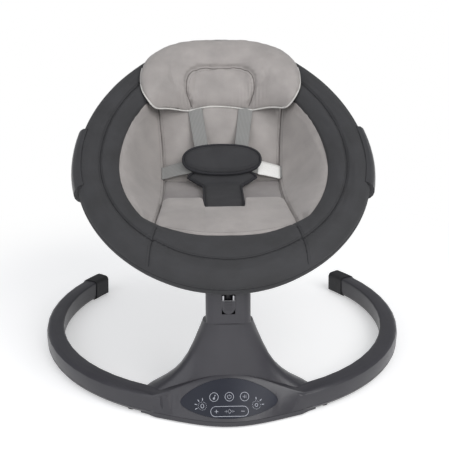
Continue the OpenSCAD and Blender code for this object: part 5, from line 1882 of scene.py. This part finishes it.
@dataclass
class HardParts:
    """Finishes for the pieces that come as they are from the frame."""

    shop: Workshop
    paint: Palette
    smooth: Tuple[str, ...] = ("base_upper_shell", "base_lower_shell", "tip_cap_left",
                               "tip_cap_right", "side_cover_left", "side_cover_right",
                               "neck_collar", "release_button", "control_lens",
                               "lower_ring_tube", "upper_ring_tube", "seat_bracket")
    crease_deg: float = 28.0

    def finish_of(self, slot: str, node: str) -> Material:
        """Returns the finish of a material slot."""
        by_slot = {
            "base_plastic": self.paint.shell, "dark_plastic": self.paint.dark,
            "soft_rubber": self.paint.rubber, "panel_lens": self.paint.lens,
            "board": self.paint.board, "bright_steel": self.paint.steel,
            "ring_steel": self.paint.tube, "motor_can": self.paint.plated,
            "ring_cloth": self.paint.cover, "liner_cloth": self.paint.liner,
            "pad_cloth": self.paint.pad, "webbing": self.paint.strap,
            "label_cloth": self.paint.label, "button_grey": self.paint.grey,
        }
        inner = ("seat_bracket", "motor_bracket")
        return self.paint.hidden if node in inner else by_slot[slot]

    def dress(self) -> None:
        """Gives each of the frame's pieces its finish, and smooth faces where it bends."""
        record = frame["record"]
        slots = {part["node"]: part["material_slot"] for part in record["subparts"]}
        for node, slot in slots.items():
            obj = frame["nodes"][node]
            finish = self.finish_of(slot, node)
            if node in self.smooth:
                self.soften(obj, node, slot, finish)
            elif obj.material_slots:
                for place in obj.material_slots:
                    place.material = finish
            else:
                LOG.warning("%s has no material slot", node)

    def soften(self, obj: Object, node: str, slot: str, finish: Material) -> None:
        """Replaces a piece by a merged copy that is shaded smooth across gentle bends."""
        data = obj.data.copy()
        data.transform(obj.matrix_world)
        with edited(data) as bm:
            bmesh.ops.remove_doubles(bm, verts=bm.verts, dist=2e-6)
            bmesh.ops.dissolve_limit(bm, angle_limit=math.radians(0.4), verts=bm.verts,
                                     edges=bm.edges)
        for layer in list(data.attributes):
            if layer.name in ("custom_normal", "sharp_edge", "sharp_face"):
                data.attributes.remove(layer)
        data.materials.clear()
        data.materials.append(finish)
        shade_smooth(data)
        data.set_sharp_from_angle(angle=math.radians(self.crease_deg))
        bodies = frame["record"]["behaviour"]["bodies"]
        body = next(name for name, nodes in bodies.items() if node in nodes)
        self.shop.hang(linked(node + "_moulded", data), slot, (node,), body)


# ---------------------------------------------------------------- studio


@dataclass
class Studio:
    """Pale floor with a painted glow, white surroundings, soft lamps and the camera."""

    ring_y: float
    distance: float = 1.8
    lift_deg: float = 19.5
    turn_deg: float = -2.2
    aim_x: float = 0.005
    aim_z: float = 0.2353
    lens_mm: float = 72.7
    painted_shade_floor_glow: float = 0.37
    rim_glow: float = 0.44
    sky_glow: float = 0.36
    near_m: Pair = (0.30, 0.5)
    far_m: Pair = (0.55, 1.0)
    lamps: Tuple[Tuple[str, Point, float, float, str], ...] = (
        ("key_lamp", (1.3, -1.5, 1.9), 34, 1.8, "#ffffff"),
        ("fill_lamp", (-1.7, -1.6, 1.3), 20, 2.2, "#fbfcff"),
        ("front_lamp", (0.1, -2.4, 0.95), 10, 1.6, "#ffffff"),
        ("top_lamp", (0.0, 0.5, 2.6), 6, 2.4, "#ffffff"))
    lamp_aim: Point = (0, 0, 0.3)

    def white_for_eye(self, net: Wiring) -> Node:
        """Returns a node that is 1 for camera, mirror and glass rays."""
        path = net.add("ShaderNodeLightPath")
        first = net.add("ShaderNodeMath", {0: (path, "Is Camera Ray"), 1: (path, "Is Glossy Ray")},
                        operation="MAXIMUM")
        return net.add("ShaderNodeMath", {0: (first, 0), 1: (path, "Is Transmission Ray")},
                       operation="MAXIMUM")

    def surroundings(self) -> None:
        """Makes a world that is white to look at and soft grey as a light."""
        world = bpy.data.worlds.new("studio")
        bpy.context.scene.world = world
        world.use_nodes = True
        net = Wiring(world.node_tree)
        soft, white = (net.add("ShaderNodeBackground", {"Color": srgb(colour), "Strength": glow})
                       for colour, glow in (("#f4f6fa", self.sky_glow), ("#ffffff", 1.0)))
        rays = net.add("ShaderNodeLightPath")
        mix = net.add("ShaderNodeMixShader", {0: (rays, "Is Camera Ray"), 1: (soft, 0),
                                              2: (white, 0)})
        net.add("ShaderNodeOutputWorld", {"Surface": (mix, 0)})

    def fade(self, net: Wiring, source: Node, ends: Pair, values: Pair) -> Node:
        """Returns a node that goes smoothly from one value to another between two distances."""
        sockets = dict(zip(("From Min", "From Max", "To Min", "To Max"), ends + values))
        return net.add("ShaderNodeMapRange", {**sockets, "Value": (source, "Value")},
                       interpolation_type="SMOOTHSTEP")

    def floor_paint(self) -> Material:
        """Returns the floor's finish: matt and pale, with a painted glow for camera, mirror and
        glass rays that is weaker near the object, as painted shade, and turns to plain white far
        from it.
        """
        paint = bpy.data.materials.new("pale_floor")
        paint.use_nodes = True
        net = Wiring(paint.node_tree)
        where = net.add("ShaderNodeTexCoord"), "Object"
        speck = net.add(NOISE, {"Scale": 3.0, "Vector": where})
        ramp = net.add(RAMP, {"Fac": (speck, "Fac")}, ((0, "#efefef"), (1, "#f3f3f3")))
        reach = net.add("ShaderNodeVectorMath", {0: where}, operation="LENGTH")
        eye = self.white_for_eye(net)
        # Painted glow: less inside the base ring, where it leaves a pale grey as painted shade,
        # more at the rim, and plain white emission far away.
        near = self.fade(net, reach, self.near_m, (self.painted_shade_floor_glow, self.rim_glow))
        far = self.fade(net, reach, self.far_m, (0.0, 1.0))
        shine, veil = (net.add("ShaderNodeMath", {0: (eye, 0), 1: (share, 0)},
                               operation="MULTIPLY") for share in (near, far))
        matt = net.add("ShaderNodeBsdfDiffuse", {"Color": (ramp, "Color")})
        glow = net.add("ShaderNodeEmission", {"Strength": (shine, 0)})
        both = net.add("ShaderNodeAddShader", {0: (matt, 0), 1: (glow, 0)})
        white = net.add("ShaderNodeEmission")
        blend = net.add("ShaderNodeMixShader", {0: (veil, 0), 1: (both, 0), 2: (white, 0)})
        net.add("ShaderNodeOutputMaterial", {"Surface": (blend, 0)})
        return paint

    def floor(self) -> None:
        """Lays a pale floor that keeps the object's shadow."""
        bm = bmesh.new()
        bmesh.ops.create_grid(bm, x_segments=8, y_segments=8, size=12)
        data = bpy.data.meshes.new("pale_floor")
        bm.to_mesh(data)
        bm.free()
        data.materials.append(self.floor_paint())
        linked("pale_floor", data)

    def lamp(self, name: str, at: Point, power: float, size: float, colour: str) -> None:
        """Hangs a square soft lamp that faces the object's middle."""
        data = bpy.data.lights.new(name, "AREA")
        data.energy = power
        data.size = size
        data.color = srgb(colour)[:3]
        lamp = linked(name, data)
        lamp.location = at
        aim = Vector(self.lamp_aim) - Vector(at)
        lamp.rotation_euler = aim.to_track_quat("-Z", "Y").to_euler()

    def camera(self) -> None:
        """Sets up the camera."""
        t, e = math.radians(self.turn_deg), math.radians(self.lift_deg)
        back = Vector((math.sin(t) * math.cos(e), -math.cos(t) * math.cos(e), math.sin(e)))
        right = Vector((math.cos(t), math.sin(t), 0))
        up = back.cross(right)
        aim = Vector((self.aim_x * math.cos(t), self.aim_x * math.sin(t) + self.ring_y,
                      self.aim_z))
        data = bpy.data.cameras.new("front_camera")
        data.lens = self.lens_mm
        data.sensor_width = 36.0
        camera = linked("front_camera", data)
        turn = Matrix((right, up, back)).transposed().to_4x4()
        turn.translation = aim + back * self.distance
        camera.matrix_world = turn
        bpy.context.scene.camera = camera

    def build(self) -> None:
        """Sets up everything round the object."""
        self.surroundings()
        self.floor()
        for name, at, power, size, colour in self.lamps:
            self.lamp(name, at, power, size, colour)
        self.camera()
        bpy.context.scene.view_settings.view_transform = "Standard"


# ---------------------------------------------------------------- the whole


def base_centre() -> float:
    """Returns the base ring's centre along Y, found from the swing's pivot."""
    joints = frame["record"]["behaviour"]["joints"]
    pivot = next(j for j in joints if j["name"] == "swing")["pos_m"]
    return pivot[1] + PIVOT_TO_CENTRE


def main() -> None:
    """Builds the looks, piece by piece."""
    logging.basicConfig(level=logging.INFO, format="%(name)s: %(message)s")
    centre = base_centre()
    shop, paint = Workshop(SeatForm(base_y=centre / MM)), Palette()
    Studio(ring_y=centre).build()
    for maker in (RingCover, SeatSling, Liner, HeadPillow, Harness, ControlPanel):
        maker(shop, paint).build()
    HardParts(shop, paint).dress()
    LOG.info("%d pieces made", len(shop.made))


if __name__ == "__main__":
    main()
